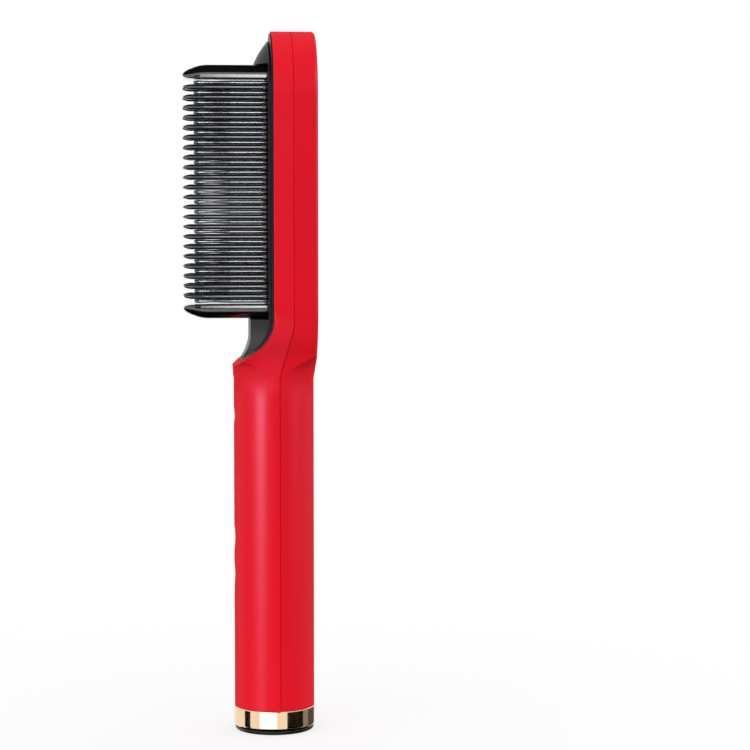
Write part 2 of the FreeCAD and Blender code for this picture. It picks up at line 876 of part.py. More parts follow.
def bezel_layer(name, inset, thickness):
    """A layer of the bezel that lies on the flat front of the head and on the scooped neck."""
    body = new_body(f"{name}_prism")
    radius = size.head_radius - size.bezel_margin - inset
    corners, arcs = bezel_outline(radius, size.bezel_tail_drop - inset)
    pad(body, outline(body, f"{name}_outline", "XZ_Plane", corners, arcs), 2 * BEYOND, both=True)
    return cut(name, body, [scoop_region(f"{name}_face", -thickness)])


def comb_bezel():
    """The black frame round the comb, with its roof above and its tail on the scooped neck."""
    rim = bezel_layer("bezel_rim", as_size(0), size.bezel_rim)
    face = bezel_layer("bezel_plate", size.bezel_band, size.bezel_thickness)
    blank = joined("bezel_blank", [rim, face, bezel_roof(), bezel_tail()])
    seated = common("bezel_seated", [blank, scoop_region("bezel_clear", -size.fit_gap / 2)])
    bosses = []
    holes = []
    for n, (x, z) in enumerate(head_screw_places()):
        rear = size.parting_head - size.fit_gap
        bosses.append(pin(f"bezel_boss_{n}", size.head_boss_radius, at.boss_root, rear, x, z))
        holes.append(pin(f"bezel_thread_{n}", size.head_screw_radius, 0, size.parting_head, x, z))
    for n, (x, z) in enumerate(carrier_screw_places()):
        rear = at.flange_back + OVERCUT
        bosses.append(pin(f"carrier_boss_{n}", size.screw_boss_radius, at.boss_root, at.flange_back, x, z))
        holes.append(pin(f"carrier_thread_{n}", size.screw_radius, at.head_front, rear, x, z))
    whole = joined("bezel_whole", [seated, bezel_skirt()] + bosses)
    side = at.window_half_width
    depth = (-BEYOND, size.bezel_skirt_depth)
    window = box("bezel_window", (-side, side), depth, (at.window_low, at.window_high))
    return keep("comb_bezel", cut("comb_bezel", whole, [window] + holes))


def bezel_skirt():
    """The wall behind the bezel that drops into the front rim of the head."""
    skirt = new_body("bezel_skirt")
    outside = size.head_radius - size.shell_wall - size.fit_gap
    inside = outside - size.bezel_skirt_wall
    front = -at.boss_root
    for name, edge, foot, make in (
        ("outer", outside, at.head_low_centre + size.fit_gap, pad),
        ("inner", inside, at.head_low_centre - CUT_OVERRUN, pocket),
    ):
        corners, arcs = arch(edge, foot, at.head_top_centre)
        sketch = outline(skirt, f"bezel_skirt_{name}", "XZ_Plane", corners, arcs, offset=front)
        make(skirt, sketch, size.bezel_skirt_depth + size.bezel_rim / 2, reverse=name == "outer")
    return skirt


def bezel_roof():
    """The turned roof that rises from the top of the bezel to the end of the comb."""
    body = new_body("bezel_roof")
    sink = size.bezel_roof_sink
    foot = sink + size.bezel_roof_rise
    crest = at.bezel_front - size.bezel_roof_reach
    land = sink + size.bezel_roof_land
    corners = [(at.bezel_root, 0), (crest, 0), (crest, land), (at.bezel_front, foot), (at.bezel_root, foot)]
    arcs = {2: -size.bezel_roof_round}
    revolved(body, outline(body, "bezel_roof_profile", "YZ_Plane", corners, arcs), "Y_Axis")
    place(body, 0, 0, at.window_high - sink)
    top = (at.window_high, size.overall_height)
    return common("bezel_roof_form", [body, box("bezel_roof_limit", (-BEYOND, BEYOND), (-BEYOND, 0), top)])


def bezel_tail():
    """The tail that carries the end of the comb and runs out to a point on the scooped neck."""
    body = new_body("bezel_tail")
    tip = at.head_low_centre - size.bezel_tail_drop
    root = at.head_front + size.bezel_skirt_depth
    high = at.window_low
    corners = [
        (root, tip),
        (-size.bezel_tail_reach, tip),
        (-size.bezel_low_reach, tip + size.bezel_tail_rise),
        (-size.bezel_low_reach, high),
        (root, high),
    ]
    sketch = outline(body, "bezel_tail_profile", "YZ_Plane", corners, {1: size.bezel_tail_round})
    pad(body, sketch, 2 * BEYOND, both=True)
    limit = new_body("bezel_tail_limit")
    half = size.bezel_tail_half_width
    lean = size.bezel_tail_draft / (size.bezel_low_reach + at.bezel_front)
    depth = size.bezel_tail_reach + at.bezel_root
    foot = tip - depth * lean
    corners = [
        (half, foot + half),
        (half, at.comb_centre),
        (-half, at.comb_centre),
        (-half, foot + half),
        (0, foot),
    ]
    arcs = {3: half, 4: half}
    sketch = outline(limit, "bezel_tail_outline", "XZ_Plane", corners, arcs, offset=-at.bezel_root)
    pad(limit, sketch, depth, draft=lean.slope())
    return common("bezel_tail_form", [body, limit])


def guard_comb():
    """The moulded comb: two rows of pointed teeth between two end walls, on a slotted base."""
    body = new_body("comb_base")
    back = -at.flange_back
    side = size.comb_flange_half_width
    reach = size.comb_flange_overlap
    flange = rectangle((-side, side), (at.comb_low - reach, at.comb_high + reach))
    pad(body, outline(body, "comb_flange", "XZ_Plane", flange, offset=back), size.comb_flange_thickness)
    side = at.comb_half_width + size.comb_plinth_margin
    plinth = rectangle((-side, side), (at.comb_low, at.comb_high))
    height = at.flange_back - at.plinth_front
    pad(body, outline(body, "comb_plinth", "XZ_Plane", plinth, offset=back), height)
    end_wall(body, "top", 1)
    end_wall(body, "bottom", -1)
    side = size.fin_half_width + size.slot_clearance
    ends = (at.comb_low + size.end_wall_thickness, at.comb_high - size.end_wall_thickness)
    slot = outline(body, "fin_slot", "XZ_Plane", rectangle((-side, side), ends), offset=back)
    pocket(body, slot, height, reverse=True)
    pieces = [body]
    for name, start in (("right", size.tooth_inner_x), ("left", -at.comb_half_width)):
        lowest = tooth(f"tooth_{name}", (start, start + size.tooth_depth))
        pieces += repeated(lowest, at.tooth_pitch, SIZES["tooth_count"])
    return keep("guard_comb", joined("guard_comb", pieces))


def tooth(name, x):
    """The lowest tooth of a row: a rounded shaft, a slight shoulder and a point."""
    level = at.comb_centre - at.tooth_pitch * (size.tooth_count - 1) / 2
    half = size.tooth_thickness / 2
    shoulder = size.tooth_reach - size.tooth_tip_length
    stations = [
        (-at.flange_middle, as_size(0)),
        (shoulder - size.tooth_shoulder_length, as_size(0)),
        (shoulder, size.tooth_shoulder_inset),
        (size.tooth_reach, size.tooth_shoulder_inset + size.tooth_tip_inset),
    ]
    return rounded_bar(name, x, (level - half, level + half), size.tooth_round, stations)


def rounded_bar(name, x, z, corner, stations):
    """A bar that reaches to the front; its stations are pairs of reach and inset."""
    body = new_body(name)
    for number, ((start, inset), (end, next_inset)) in enumerate(zip(stations, stations[1:])):
        limits = (x[0] + inset, x[1] - inset), (z[0] + inset, z[1] - inset)
        corners, arcs = rounded_rectangle(*limits, corner - inset)
        sketch = outline(body, f"{name}_section_{number}", "XZ_Plane", corners, arcs, offset=start)
        lean = (next_inset - inset) / (end - start)
        pad(body, sketch, end - start, draft=lean.slope() if lean.number else None)
    return body


def end_wall(body, name, end):
    """One end of the comb: a thick rounded bar with a long curve to its point on the outer side."""
    face = at.comb_centre + end * size.comb_length / 2
    inner = face - end * size.end_wall_thickness
    half = at.comb_half_width
    z = sorted((inner, face), key=lambda value: value.number)
    corners, arcs = rounded_rectangle((-half, half), z, size.end_wall_edge)
    sketch = outline(body, f"end_wall_{name}", "XZ_Plane", corners, arcs, offset=-at.flange_middle)
    pad(body, sketch, size.tooth_reach + at.flange_middle)
    inset = size.end_wall_tip_inset
    length = size.end_wall_round_length
    bend = (length * length + inset * inset) / (inset * 2)
    tip_end = -size.tooth_reach
    beyond = tip_end - OVERCUT
    tip = face - end * inset
    outside = face + end * OVERCUT
    start = tip_end + length
    corners = [(start, face), (tip_end, tip), (beyond, tip), (beyond, outside), (start, outside)]
    sketch = outline(body, f"end_curve_{name}", "YZ_Plane", corners, {0: bend * end})
    pocket(body, sketch, BEYOND, both=True)
    point = tip - end * size.end_wall_tip
    inside = inner - end * OVERCUT
    start = tip_end + size.end_wall_point
    corners = [(start, inner), (tip_end, point), (beyond, point), (beyond, inside), (start, inside)]
    pocket(body, outline(body, f"end_point_{name}", "YZ_Plane", corners), BEYOND, both=True)


def heated_comb():
    """The coated metal bar with its row of waisted fins, which reach out between the guard teeth."""
    side = size.bar_half_width
    ends = (at.comb_centre - at.bar_half_length, at.comb_centre + at.bar_half_length)
    bar = box("comb_bar", (-side, side), (at.bar_front, at.bar_back), ends)
    level = at.comb_centre - at.tooth_pitch * size.tooth_count / 2
    half = size.fin_thickness / 2
    tip = size.fin_reach - size.fin_tip_round
    waist = (size.fin_thickness - size.fin_waist) / 2
    stations = [
        (-at.bar_front - size.bar_thickness / 2, as_size(0)),
        (tip - size.fin_waist_length, as_size(0)),
        (tip - size.fin_waist_length / 2, waist),
        (tip, as_size(0)),
        (size.fin_reach, size.fin_tip_round),
    ]
    x = (-size.fin_half_width, size.fin_half_width)
    fin = rounded_bar("fin", x, (level - half, level + half), size.fin_edge, stations)
    fins = repeated(fin, at.tooth_pitch, SIZES["tooth_count"] + 1)
    return keep("heated_comb", joined("heated_comb", [bar] + fins))


def heater_stack():
    """The heater stones behind the bar, their insulating sheet, spring plate and plastic carrier."""
    side = size.heater_half_width
    stones = []
    for row in range(SIZES["heater_count"]):
        middle = at.comb_centre + at.heater_spacing * (row - (SIZES["heater_count"] - 1) / 2)
        z = (middle - at.heater_length / 2, middle + at.heater_length / 2)
        stones.append(box(f"heater_stone_{row}", (-side, side), (at.bar_back, at.heater_back), z))
    keep("heater_element", group("heater_element", stones))
    half = size.comb_length / 2 - size.heater_end_gap
    side = size.sheet_half_width
    z = (at.comb_centre - half, at.comb_centre + half)
    keep("insulation_sheet", box("insulation_sheet", (-side, side), (at.heater_back, at.carrier_back), z))
    side = at.carrier_half_width
    plate = box("clamp_plate", (-side, side), (at.carrier_back, at.clamp_back), z)
    shank = size.screw_radius + size.fit_gap
    y = (at.carrier_back - OVERCUT, at.clamp_back + OVERCUT)
    holes = [
        pin(f"clamp_hole_{n}", shank, *y, x, level)
        for n, (x, level) in enumerate(clamp_screw_places())
    ]
    keep("heater_clamp", cut("heater_clamp", plate, holes))


def heater_carrier():
    """The tray that holds the heated bar off the plastic and screws to the bezel."""
    side = at.carrier_half_width
    ends = (at.comb_centre - at.carrier_half_length, at.comb_centre + at.carrier_half_length)
    block = box("carrier_block", (-side, side), (at.flange_back, at.carrier_back), ends)
    ears = []
    holes = []
    for n, (x, z) in enumerate(carrier_screw_places()):
        half = size.carrier_ear_reach / 2
        tall = size.carrier_ear_height / 2
        y = (at.flange_back, at.flange_back + size.carrier_ear_thickness)
        reach = half + size.carrier_ear_root
        ears.append(box(f"carrier_ear_{n}", (x - reach, x + reach), y, (z - tall, z + tall)))
        shank = size.screw_radius + size.fit_gap
        holes.append(pin(f"ear_hole_{n}", shank, y[0] - OVERCUT, y[1] + OVERCUT, x, z))
    pocket_side = size.bar_half_width + size.fit_gap
    pocket_half = at.bar_half_length + size.fit_gap
    inside = (at.comb_centre - pocket_half, at.comb_centre + pocket_half)
    y = (at.bar_front, at.carrier_back + OVERCUT)
    holes.append(box("bar_pocket", (-pocket_side, pocket_side), y, inside))
    lip = size.bar_half_width - size.carrier_ledge
    opening = pocket_half - size.carrier_ledge
    inside = (at.comb_centre - opening, at.comb_centre + opening)
    y = (at.flange_back - OVERCUT, at.bar_front + OVERCUT)
    holes.append(box("bar_window", (-lip, lip), y, inside))
    notch = size.carrier_notch_half_width
    y = (at.bar_back, at.carrier_back + OVERCUT)
    holes.append(box("lead_notch", (-notch, notch), y, (ends[0] - OVERCUT, at.comb_centre)))
    for n, (x, z) in enumerate(clamp_screw_places()):
        front = at.carrier_back - size.screw_bite
        holes.append(pin(f"clamp_thread_{n}", size.screw_radius, front, at.carrier_back, x, z))
    keep("heater_carrier", cut("heater_carrier", joined("carrier_eared", [block] + ears), holes))


def heat_sensors():
    """The temperature sensor and the thermal fuse, one each side of the heater stones."""
    for name, x, length in (
        ("thermistor", size.sensor_x, size.sensor_length),
        ("thermal_fuse", -size.sensor_x, size.fuse_length),
    ):
        low = at.comb_centre - length / 2
        keep(name, rod(name, size.sensor_radius, length, x, at.sensor_y, low))


def screw_set(name, places, seat, head, shank, shank_end):
    """Pan-head screws driven towards the front: head is its radius and height, shank its radius."""
    screws = []
    for n, (x, z) in enumerate(places):
        top = pin(f"{name}_head_{n}", head[0], seat, seat + head[1], x, z)
        stem = pin(f"{name}_shank_{n}", shank, shank_end, seat, x, z)
        screws.append(joined(f"{name}_{n}", [top, stem]))
    return keep(name, group(name, screws))


def screws():
    small = (size.screw_head_radius, size.screw_head_height)
    thread = size.screw_radius - size.fit_gap / 4
    end = at.board_front - size.screw_bite + size.fit_gap
    screw_set("board_screws", board_screw_places(), at.board_back, small, thread, end)
    end = at.carrier_back - size.screw_bite + size.fit_gap
    screw_set("clamp_screws", clamp_screw_places(), at.clamp_back, small, thread, end)
    seat = at.flange_back + size.carrier_ear_thickness
    screw_set("carrier_screws", carrier_screw_places(), seat, small, thread, at.head_front + size.fit_gap)
    seat = at.trim_floor - size.fit_gap - size.head_screw_head_height
    large = (size.head_screw_head_radius, size.head_screw_head_height)
    thread = size.head_screw_radius - size.fit_gap / 4
    screw_set("head_screws", head_screw_places(), seat, large, thread, size.fit_gap)


# Buttons and control board

def button(key):
    """A cap dished like the handle round it, with a flange that holds it in from behind."""
    level, _, _ = BUTTONS[key]
    cap = pin(f"{key}_cap", size.button_radius, -size.handle_radius, at.flange_rear, 0, level)
    flange = pin(f"{key}_flange", size.button_flange_radius, at.flange_front, at.flange_rear, 0, level)
    hollow = dish(f"{key}_cap_dish", key, sunk=size.button_step)
    keep(f"{key}_button", cut(f"{key}_button", joined(f"{key}_blank", [cap, flange]), [hollow]))
    rear = at.switch_front + size.plunger_depth
    keep(f"{key}_plunger", pin(f"{key}_plunger", size.plunger_radius, at.flange_rear, rear, 0, level))


def switches():
    """The push switches under the buttons."""
    half = size.switch_side / 2
    cases = []
    for key, (level, _, _) in BUTTONS.items():
        y = (at.switch_front, at.board_front)
        case = box(f"{key}_case", (-half, half), y, (level - half, level + half))
        rear = at.switch_front + size.plunger_depth + size.button_travel + size.plunger_gap
        radius = size.plunger_radius + size.plunger_gap
        hole = pin(f"{key}_case_hole", radius, at.switch_front - OVERCUT, rear, 0, level)
        cases.append(cut(f"{key}_switch", case, [hole]))
    keep("tact_switches", group("tact_switches", cases))


def control_board():
    """The board behind the buttons with its driver, chip and capacitor, and the indicator lamps."""
    side = at.board_half_width
    y = (at.board_front, at.board_back)
    blank = box("board_blank", (-side, side), y, (at.board_low, at.board_high))
    shank = size.screw_radius + size.fit_gap
    y = (at.board_front - OVERCUT, at.board_back + OVERCUT)
    holes = [
        pin(f"board_hole_{n}", shank, *y, x, z)
        for n, (x, z) in enumerate(board_screw_places())
    ]
    keep("control_board", cut("control_board", blank, holes))
    half = size.chip_side / 2
    level = at.head_low_centre - size.chip_drop
    y = (at.board_back, at.board_back + size.chip_height)
    keep("controller_chip", box("controller_chip", (-half, half), y, (level - half, level + half)))
    rear = at.board_back + size.capacitor_height
    level = at.head_low_centre - size.capacitor_drop
    keep("bulk_capacitor", pin("bulk_capacitor", size.capacitor_radius, at.board_back, rear, 0, level))
    half = size.mosfet_half_width
    tall = size.mosfet_length / 2
    level = at.head_low_centre - size.mosfet_drop
    y = (at.board_back, at.board_back + size.mosfet_height)
    keep("power_mosfet", box("power_mosfet", (-half, half), y, (level - tall, level + tall)))
    half = size.led_width / 2
    front = at.board_front - size.led_height
    lamps = [
        box(f"led_{row}", (-half, half), (front, at.board_front), (level - half, level + half))
        for row, level in enumerate(lamp_levels())
    ]
    keep("indicator_leds", group("indicator_leds", lamps))


def light_guide():
    """A clear strip behind the handle front with a short window for each lamp."""
    levels = lamp_levels()
    half = size.guide_half_width
    strip_front = at.flange_front - size.flange_room
    z = (levels[0] - at.lamp_pitch / 2, levels[-1] + at.lamp_pitch / 2)
    pieces = [box("guide_strip", (-half, half), (strip_front, strip_front + size.guide_thickness), z)]
    front = -size.handle_radius
    for row, level in enumerate(levels):
        pieces.append(pin(f"guide_window_{row}", size.lamp_radius, front, strip_front, 0, level))
    keep("light_guide", joined("light_guide", pieces))


# Cell, charging and bottom end

def cell():
    """The rechargeable cell in its cradle, with a metal tab on each end."""
    low = size.cell_start - size.tab_thickness
    high = at.cell_end + size.tab_thickness
    keep("battery_cell", rod("battery_cell", at.cell_radius, at.cell_length, 0, at.cell_y, size.cell_start))
    ends = (low - size.cradle_end, high + size.cradle_end)
    whole = rod("cradle_round", at.spigot_radius, ends[1] - ends[0], 0, 0, ends[0])
    z = (ends[0] - OVERCUT, ends[1] + OVERCUT)
    front = box("cradle_front_half", (-BEYOND, BEYOND), (-BEYOND, size.cradle_front), z)
    hollow = rod("cradle_hollow", at.cell_radius + size.cradle_gap, high - low, 0, at.cell_y, low)
    keep("battery_cradle", cut("battery_cradle", whole, [front, hollow]))
    half = size.tab_half_width
    y = (at.cell_y - half, at.cell_y + half)
    tabs = [
        box("low_tab", (-half, half), y, (low, size.cell_start)),
        box("high_tab", (-half, half), y, (at.cell_end, high)),
    ]
    keep("battery_tabs", group("battery_tabs", tabs))


def charging():
    """The charging socket and the small board that stands behind it in the end cap."""
    side = size.socket_half_width
    tall = size.socket_half_height
    z = (size.socket_recess, size.socket_recess + size.socket_length)
    shell = box("socket_shell", (-side, side), (-tall, tall), z)
    inner_side = side - size.socket_wall
    inner_tall = tall - size.socket_wall
    y = (-inner_tall, inner_tall)
    mouth = box("socket_mouth", (-inner_side, inner_side), y, (0, size.socket_recess + size.socket_depth))
    tongue_side = size.tongue_half_width
    y = (-size.tongue_half_height, size.tongue_half_height)
    z = (size.socket_recess * 2, z[1] - size.socket_wall)
    tongue = box("socket_tongue", (-tongue_side, tongue_side), y, z)
    keep("charge_socket", joined("charge_socket", [cut("socket_case", shell, [mouth]), tongue]))
    side = at.charge_board_half_width
    y = (tall, tall + size.charge_board_thickness)
    z = (size.end_cap_floor, size.end_cap_floor + size.charge_board_length)
    keep("charge_board", box("charge_board", (-side, side), y, z))


def end_cap():
    """The black cap that closes the handle, with the socket's slot and two ribs for its board."""
    lip = size.handle_radius + size.end_ring_proud - size.end_lip_inset
    spigot = at.spigot_radius
    collar = size.handle_radius + size.end_ring_proud - size.end_ring_wall - size.fit_gap
    top = at.handle_bottom + size.end_cap_spigot
    inside = at.cap_inside
    rounding = size.end_lip_round
    body = new_body("cap_turned")
    corners = [
        (0, 0),
        (lip - rounding, 0),
        (lip, rounding),
        (lip, size.end_lip_height),
        (collar, size.end_lip_height),
        (collar, at.handle_bottom),
        (spigot, at.handle_bottom),
        (spigot, top),
        (inside, top),
        (inside, size.end_cap_floor),
        (0, size.end_cap_floor),
    ]
    revolved(body, outline(body, "cap_section", "XZ_Plane", corners, {1: rounding}), "Z_Axis")
    middle = size.socket_half_height + size.charge_board_thickness / 2
    half = size.charge_board_thickness / 2 + size.guide_rib_width
    z = (size.end_cap_floor, size.end_cap_floor + size.guide_rib_height)
    outer = at.charge_board_half_width + size.fit_gap + size.guide_rib_width
    inner = at.charge_board_half_width - at.board_grip
    ribs = []
    for name, side in (("right", 1), ("left", -1)):
        limits = sorted((side * inner, side * outer), key=lambda value: value.number)
        ribs.append(box(f"board_rib_{name}", limits, (middle - half, middle + half), z))
    side = at.charge_board_half_width + size.fit_gap
    play = size.fit_gap / 2
    y = (size.socket_half_height - play, size.socket_half_height + size.charge_board_thickness + play)
    groove = box("board_groove", (-side, side), y, (size.end_cap_floor, z[1] + OVERCUT))
    side = size.socket_half_width + size.fit_gap
    tall = size.socket_half_height + size.fit_gap
    slot = box("socket_slot", (-side, side), (-tall, tall), (-OVERCUT, size.end_cap_floor + OVERCUT))
    keep("end_cap", cut("end_cap", joined("cap_ribbed", [body] + ribs), [groove, slot]))


def end_ring():
    """The polished ring held between the end cap and the handle."""
    outer = size.handle_radius + size.end_ring_proud
    inner = outer - size.end_ring_wall
    ease = size.end_ring_round
    low = size.end_lip_height
    high = at.handle_bottom
    body = new_body("end_ring")
    corners = [
        (inner, low),
        (outer - ease, low),
        (outer, low + ease),
        (outer, high - ease),
        (outer - ease, high),
        (inner, high),
    ]
    revolved(body, outline(body, "ring_section", "XZ_Plane", corners, {1: ease, 3: ease}), "Z_Axis")
    keep("end_ring", body)


# Inner leads

def lead(name, radius, points, bend):
    """A round lead along straight runs joined by tangent arcs of one radius."""
    path = [FreeCAD.Vector(*(as_size(value).number for value in point)) for point in points]
    edges = []
    start = path[0]
    for before, corner, after in zip(path, path[1:], path[2:]):
        back = (before - corner).normalize()
        ahead = (after - corner).normalize()
        half_angle = back.getAngle(ahead) / 2
        reach = bend.number / math.tan(half_angle)
        entry = corner + back * reach
        leave = corner + ahead * reach
        middle = corner + (back + ahead).normalize() * (bend.number / math.sin(half_angle) - bend.number)
        edges.append(Part.LineSegment(start, entry).toShape())
        edges.append(Part.Arc(entry, middle, leave).toShape())
        start = leave
    edges.append(Part.LineSegment(start, path[-1]).toShape())
    wire = Part.Wire(edges)
    circle = Part.Circle(path[0], path[1] - path[0], radius.number).toShape()
    solid = wire.makePipeShell([Part.Wire([circle])], True, False)
    expected = math.pi * radius.number ** 2 * wire.Length
    if abs(solid.Volume - expected) > 0.01 * expected:
        raise RuntimeError(f"{name} doesn't have the volume of its section along its length")
    tube = doc.addObject("Part::Feature", name)
    tube.Shape = solid
    return tube


def neck_lead(name, radius, top, bottom_x):
    """A lead from a piece of the heater down through the neck to the back of the control board."""
    x, y, z = top
    bend_z = at.head_low_centre - size.lead_top_drop
    board_y = at.board_back + size.lead_board_gap + radius
    foot = bend_z - size.lead_slope
    points = [(x, y, z), (x, y, bend_z), (bottom_x, board_y, foot)]
    points.append((bottom_x, board_y, foot - size.lead_tail))
    return lead(name, radius, points, size.lead_bend)


def leads():
    """The leads from the heater, its sensors, the cell and the charging board to the control board."""
    heater_y = (at.bar_back + at.heater_back) / 2
    heater_z = at.comb_low + size.heater_end_gap + size.heater_gap / 2
    pair = []
    for side, sign in (("right", 1), ("left", -1)):
        top = (sign * size.heater_lead_x, heater_y, heater_z)
        pair.append(neck_lead(f"heater_lead_{side}", size.heater_lead_radius, top, sign * at.heater_lead_x))
    keep("heater_leads", group("heater_leads", pair))
    radius = size.sensor_lead_radius
    top = (size.sensor_x, at.sensor_y, at.comb_centre - size.sensor_length / 2)
    keep("thermistor_lead", neck_lead("thermistor_lead", radius, top, at.sensor_lead_x))
    top = (-size.sensor_x, at.sensor_y, at.comb_centre - size.fuse_length / 2)
    keep("fuse_lead", neck_lead("fuse_lead", radius, top, -at.sensor_lead_x))
    radius = size.cell_lead_radius
    bend = size.cell_lead_bend
    front = size.cradle_front - radius - size.cradle_gap
    board_y = at.board_back + size.lead_board_gap + radius
    high = at.cell_end + size.tab_thickness
    turn = high + size.cell_lead_climb
    foot = turn + size.cell_lead_climb
    end = foot + size.cell_lead_tail
    x = size.cell_lead_start_x
    end_x = at.board_half_width - size.cell_lead_edge
    points = [(x, front, high), (x, front, turn), (end_x, board_y, foot), (end_x, board_y, end)]
    positive = lead("positive_lead", radius, points, bend)
    low = size.cell_start - size.tab_thickness
    under = low - size.cell_lead_drop
    side_x = at.bore_radius - size.cell_lead_wall_gap
    side_y = size.cell_lead_side_y
    points = [(-x, front, low), (-x, front, under), (-side_x, side_y, under), (-side_x, side_y, turn)]
    points += [(-end_x, board_y, foot), (-end_x, board_y, end)]
    negative = lead("negative_lead", radius, points, bend)
    keep("battery_leads", group("battery_leads", [positive, negative]))
    face = size.socket_half_height - radius - size.fit_gap
    x = at.charge_board_half_width - size.charge_lead_inset
    end_x = at.board_half_width - size.charge_lead_edge
    points = [(x, face, size.charge_lead_start), (x, face, under)]
    points += [(side_x, side_y, under), (side_x, side_y, turn)]
    points += [(end_x, board_y, foot), (end_x, board_y, end)]
    keep("charge_lead", lead("charge_lead", radius, points, bend))


def main():
    os.makedirs("parts", exist_ok=True)
    outer, hollow, seam = housing()
    side = front_side("front_side", 0)
    front_shell(outer, hollow, side)
    back_shell(hollow, side, seam)
    back_trim_ring()
    back_panel()
    comb_bezel()
    guard_comb()
    heated_comb()
    heater_stack()
    heater_carrier()
    heat_sensors()
    screws()
    for key in BUTTONS:
        button(key)
    switches()
    control_board()
    light_guide()
    cell()
    charging()
    end_cap()
    end_ring()
    leads()
    doc.recompute()
    check()
    for name, thing in nodes.items():
        thing.Shape.exportStep(f"parts/{name}.step")


def check():
    """Stop before writing anything if a feature failed or a sub-part isn't a sound solid."""
    for thing in doc.Objects:
        if "Invalid" in thing.State or "Error" in thing.State:
            raise RuntimeError(f"{thing.Name} failed: {thing.State}")
    for name, thing in nodes.items():
        shape = thing.Shape
        if shape.isNull() or not shape.isValid() or not shape.Solids:
            raise RuntimeError(f"{name} isn't a sound solid")
        print(f"{name}: {len(shape.Solids)} solids, {shape.Volume:.1f} mm3")


main()
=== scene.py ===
"""Looks of the heated styling brush: a red comb brush with gold trim, on a pale studio floor.

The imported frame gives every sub-part in metres, with the handle along +Z, the comb towards -Y and
the trimmed back of the head towards +Y.
"""

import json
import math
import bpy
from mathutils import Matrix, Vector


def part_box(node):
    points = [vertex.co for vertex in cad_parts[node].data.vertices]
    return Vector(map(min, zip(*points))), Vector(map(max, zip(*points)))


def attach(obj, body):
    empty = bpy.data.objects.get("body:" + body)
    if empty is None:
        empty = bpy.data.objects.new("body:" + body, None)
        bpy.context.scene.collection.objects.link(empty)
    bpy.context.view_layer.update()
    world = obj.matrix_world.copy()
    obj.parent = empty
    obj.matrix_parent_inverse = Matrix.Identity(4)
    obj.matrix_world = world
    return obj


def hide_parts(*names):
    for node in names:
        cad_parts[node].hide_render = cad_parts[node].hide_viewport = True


bl_info = {
    "name": "Heated styling brush",
    "version": (1, 0, 0),
    "blender": (4, 5, 0),
    "location": "View3D > Sidebar > Brush",
    "description": "Builds the finished surfaces of a heated styling brush and its studio",
    "category": "Object",
}

import bmesh
import bpy
from mathutils import Matrix, Vector

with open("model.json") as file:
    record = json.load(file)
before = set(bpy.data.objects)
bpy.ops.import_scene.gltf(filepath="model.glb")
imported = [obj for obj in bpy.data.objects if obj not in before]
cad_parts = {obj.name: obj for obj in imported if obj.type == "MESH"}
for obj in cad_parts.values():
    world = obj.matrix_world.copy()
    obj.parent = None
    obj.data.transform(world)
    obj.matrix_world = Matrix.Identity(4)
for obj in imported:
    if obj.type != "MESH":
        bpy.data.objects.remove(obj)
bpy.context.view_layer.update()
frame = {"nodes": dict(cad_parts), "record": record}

MM = 0.001
WELD = 0.002 * MM
WHITE = (1.0, 1.0, 1.0, 1.0)
ORIGIN = (0.0, 0.0, 0.0)
TO_BACK = Vector((0.0, 1.0, 0.0))
TO_TOP = Vector((0.0, 0.0, 1.0))
FACE_FRONT = Matrix.Rotation(math.radians(90.0), 4, "X")
HEAD_STEPS = 96
RING_STEPS = 128

# Patterns in the finishes: scales in repeats per metre, and the relief of the finest one.
DRIFT_SCALE = 60.0
GRAIN_SCALE = 2600.0
CLOUD_SCALE = 90.0
STREAK_SCALE = 1500.0
STREAK_STRETCH = (1.0, 1.0, 0.04)
CLOTH_SCALE = 8.0
FINE_DETAIL = 3.0
GRAIN_DEPTH = 0.02 * MM
MOULD_GRAIN = 0.1
SOFT_EDGE = 0.3 * MM
PINK_GLOSS = (1.0, 0.65, 1.0, 1.0)
SATIN = {"Specular IOR Level": 0.18, "Specular Tint": PINK_GLOSS}

# The satin of the shell: its roughness, and what grain, the neck and a grazing view add to it.
SHELL_FADE = 0.95
SHELL_ROUGHNESS = 0.30
SHELL_SPREAD = 0.06
NECK_MATT = 0.45
EDGE_MATT = 0.8
MOST_MATT = 0.9

# The neck of the shell: each pair is the start and the end of a smooth change, by height or depth.
NECK_START = (132.0 * MM, 142.0 * MM)
NECK_END = (158.0 * MM, 168.0 * MM)
LIP_START = (130.0 * MM, 138.0 * MM)
LIP_END = (143.0 * MM, 147.0 * MM)
SCOOP_EDGE = (-9.0 * MM, -4.0 * MM)
BACK_EDGE = (9.0 * MM, 14.0 * MM)
SEAM_RISE = (140.5 * MM, 159.5 * MM)
SEAM_DEPTH = 1.5 * MM
SEAM_SHIFT = 5.0 * MM
SEAM_REACH = 0.8
NECK_ROUND = 5.0 * MM
NECK_LEVEL = 0.85

# The frame round the comb: its tone and gloss, its soft edges, and the heights below which its tail
# gets a painted highlight.
FRAME_FADE = 0.8
FRAME_ROUGHNESS = 0.38
FRAME_SPREAD = 0.1
FRAME_EDGE = 0.4 * MM
PAINTED_SHEEN_HEIGHTS = (146.0 * MM, 166.0 * MM)

# The turned pieces: the top of the gold band, the panel's fall and rim, and the ring's wall.
BAND_TOP = 0.45 * MM
PANEL_CORE = 0.05 * MM
PANEL_SHARES = (0.2, 0.4, 0.55, 0.68, 0.78, 0.86, 0.92, 0.965, 1.0)
PANEL_FALL = 4
PANEL_RIM = 0.2 * MM
RING_WALL = 1.7 * MM
RING_HOLD = 0.5 * MM

# The comb: the front of its plinth, the ledge beside the teeth, and the bar behind the fins.
PLINTH_FRONT = -2.4 * MM
PLINTH_LEDGE = 0.8 * MM
SLOT_GAP = 0.5 * MM
FLANGE_DEPTH = 2.0 * MM
BAR_DEPTH = 4.0 * MM
FIN_SUNK = 1.0 * MM
TOOTH_SIDES = 16
FIN_SIDES = 14

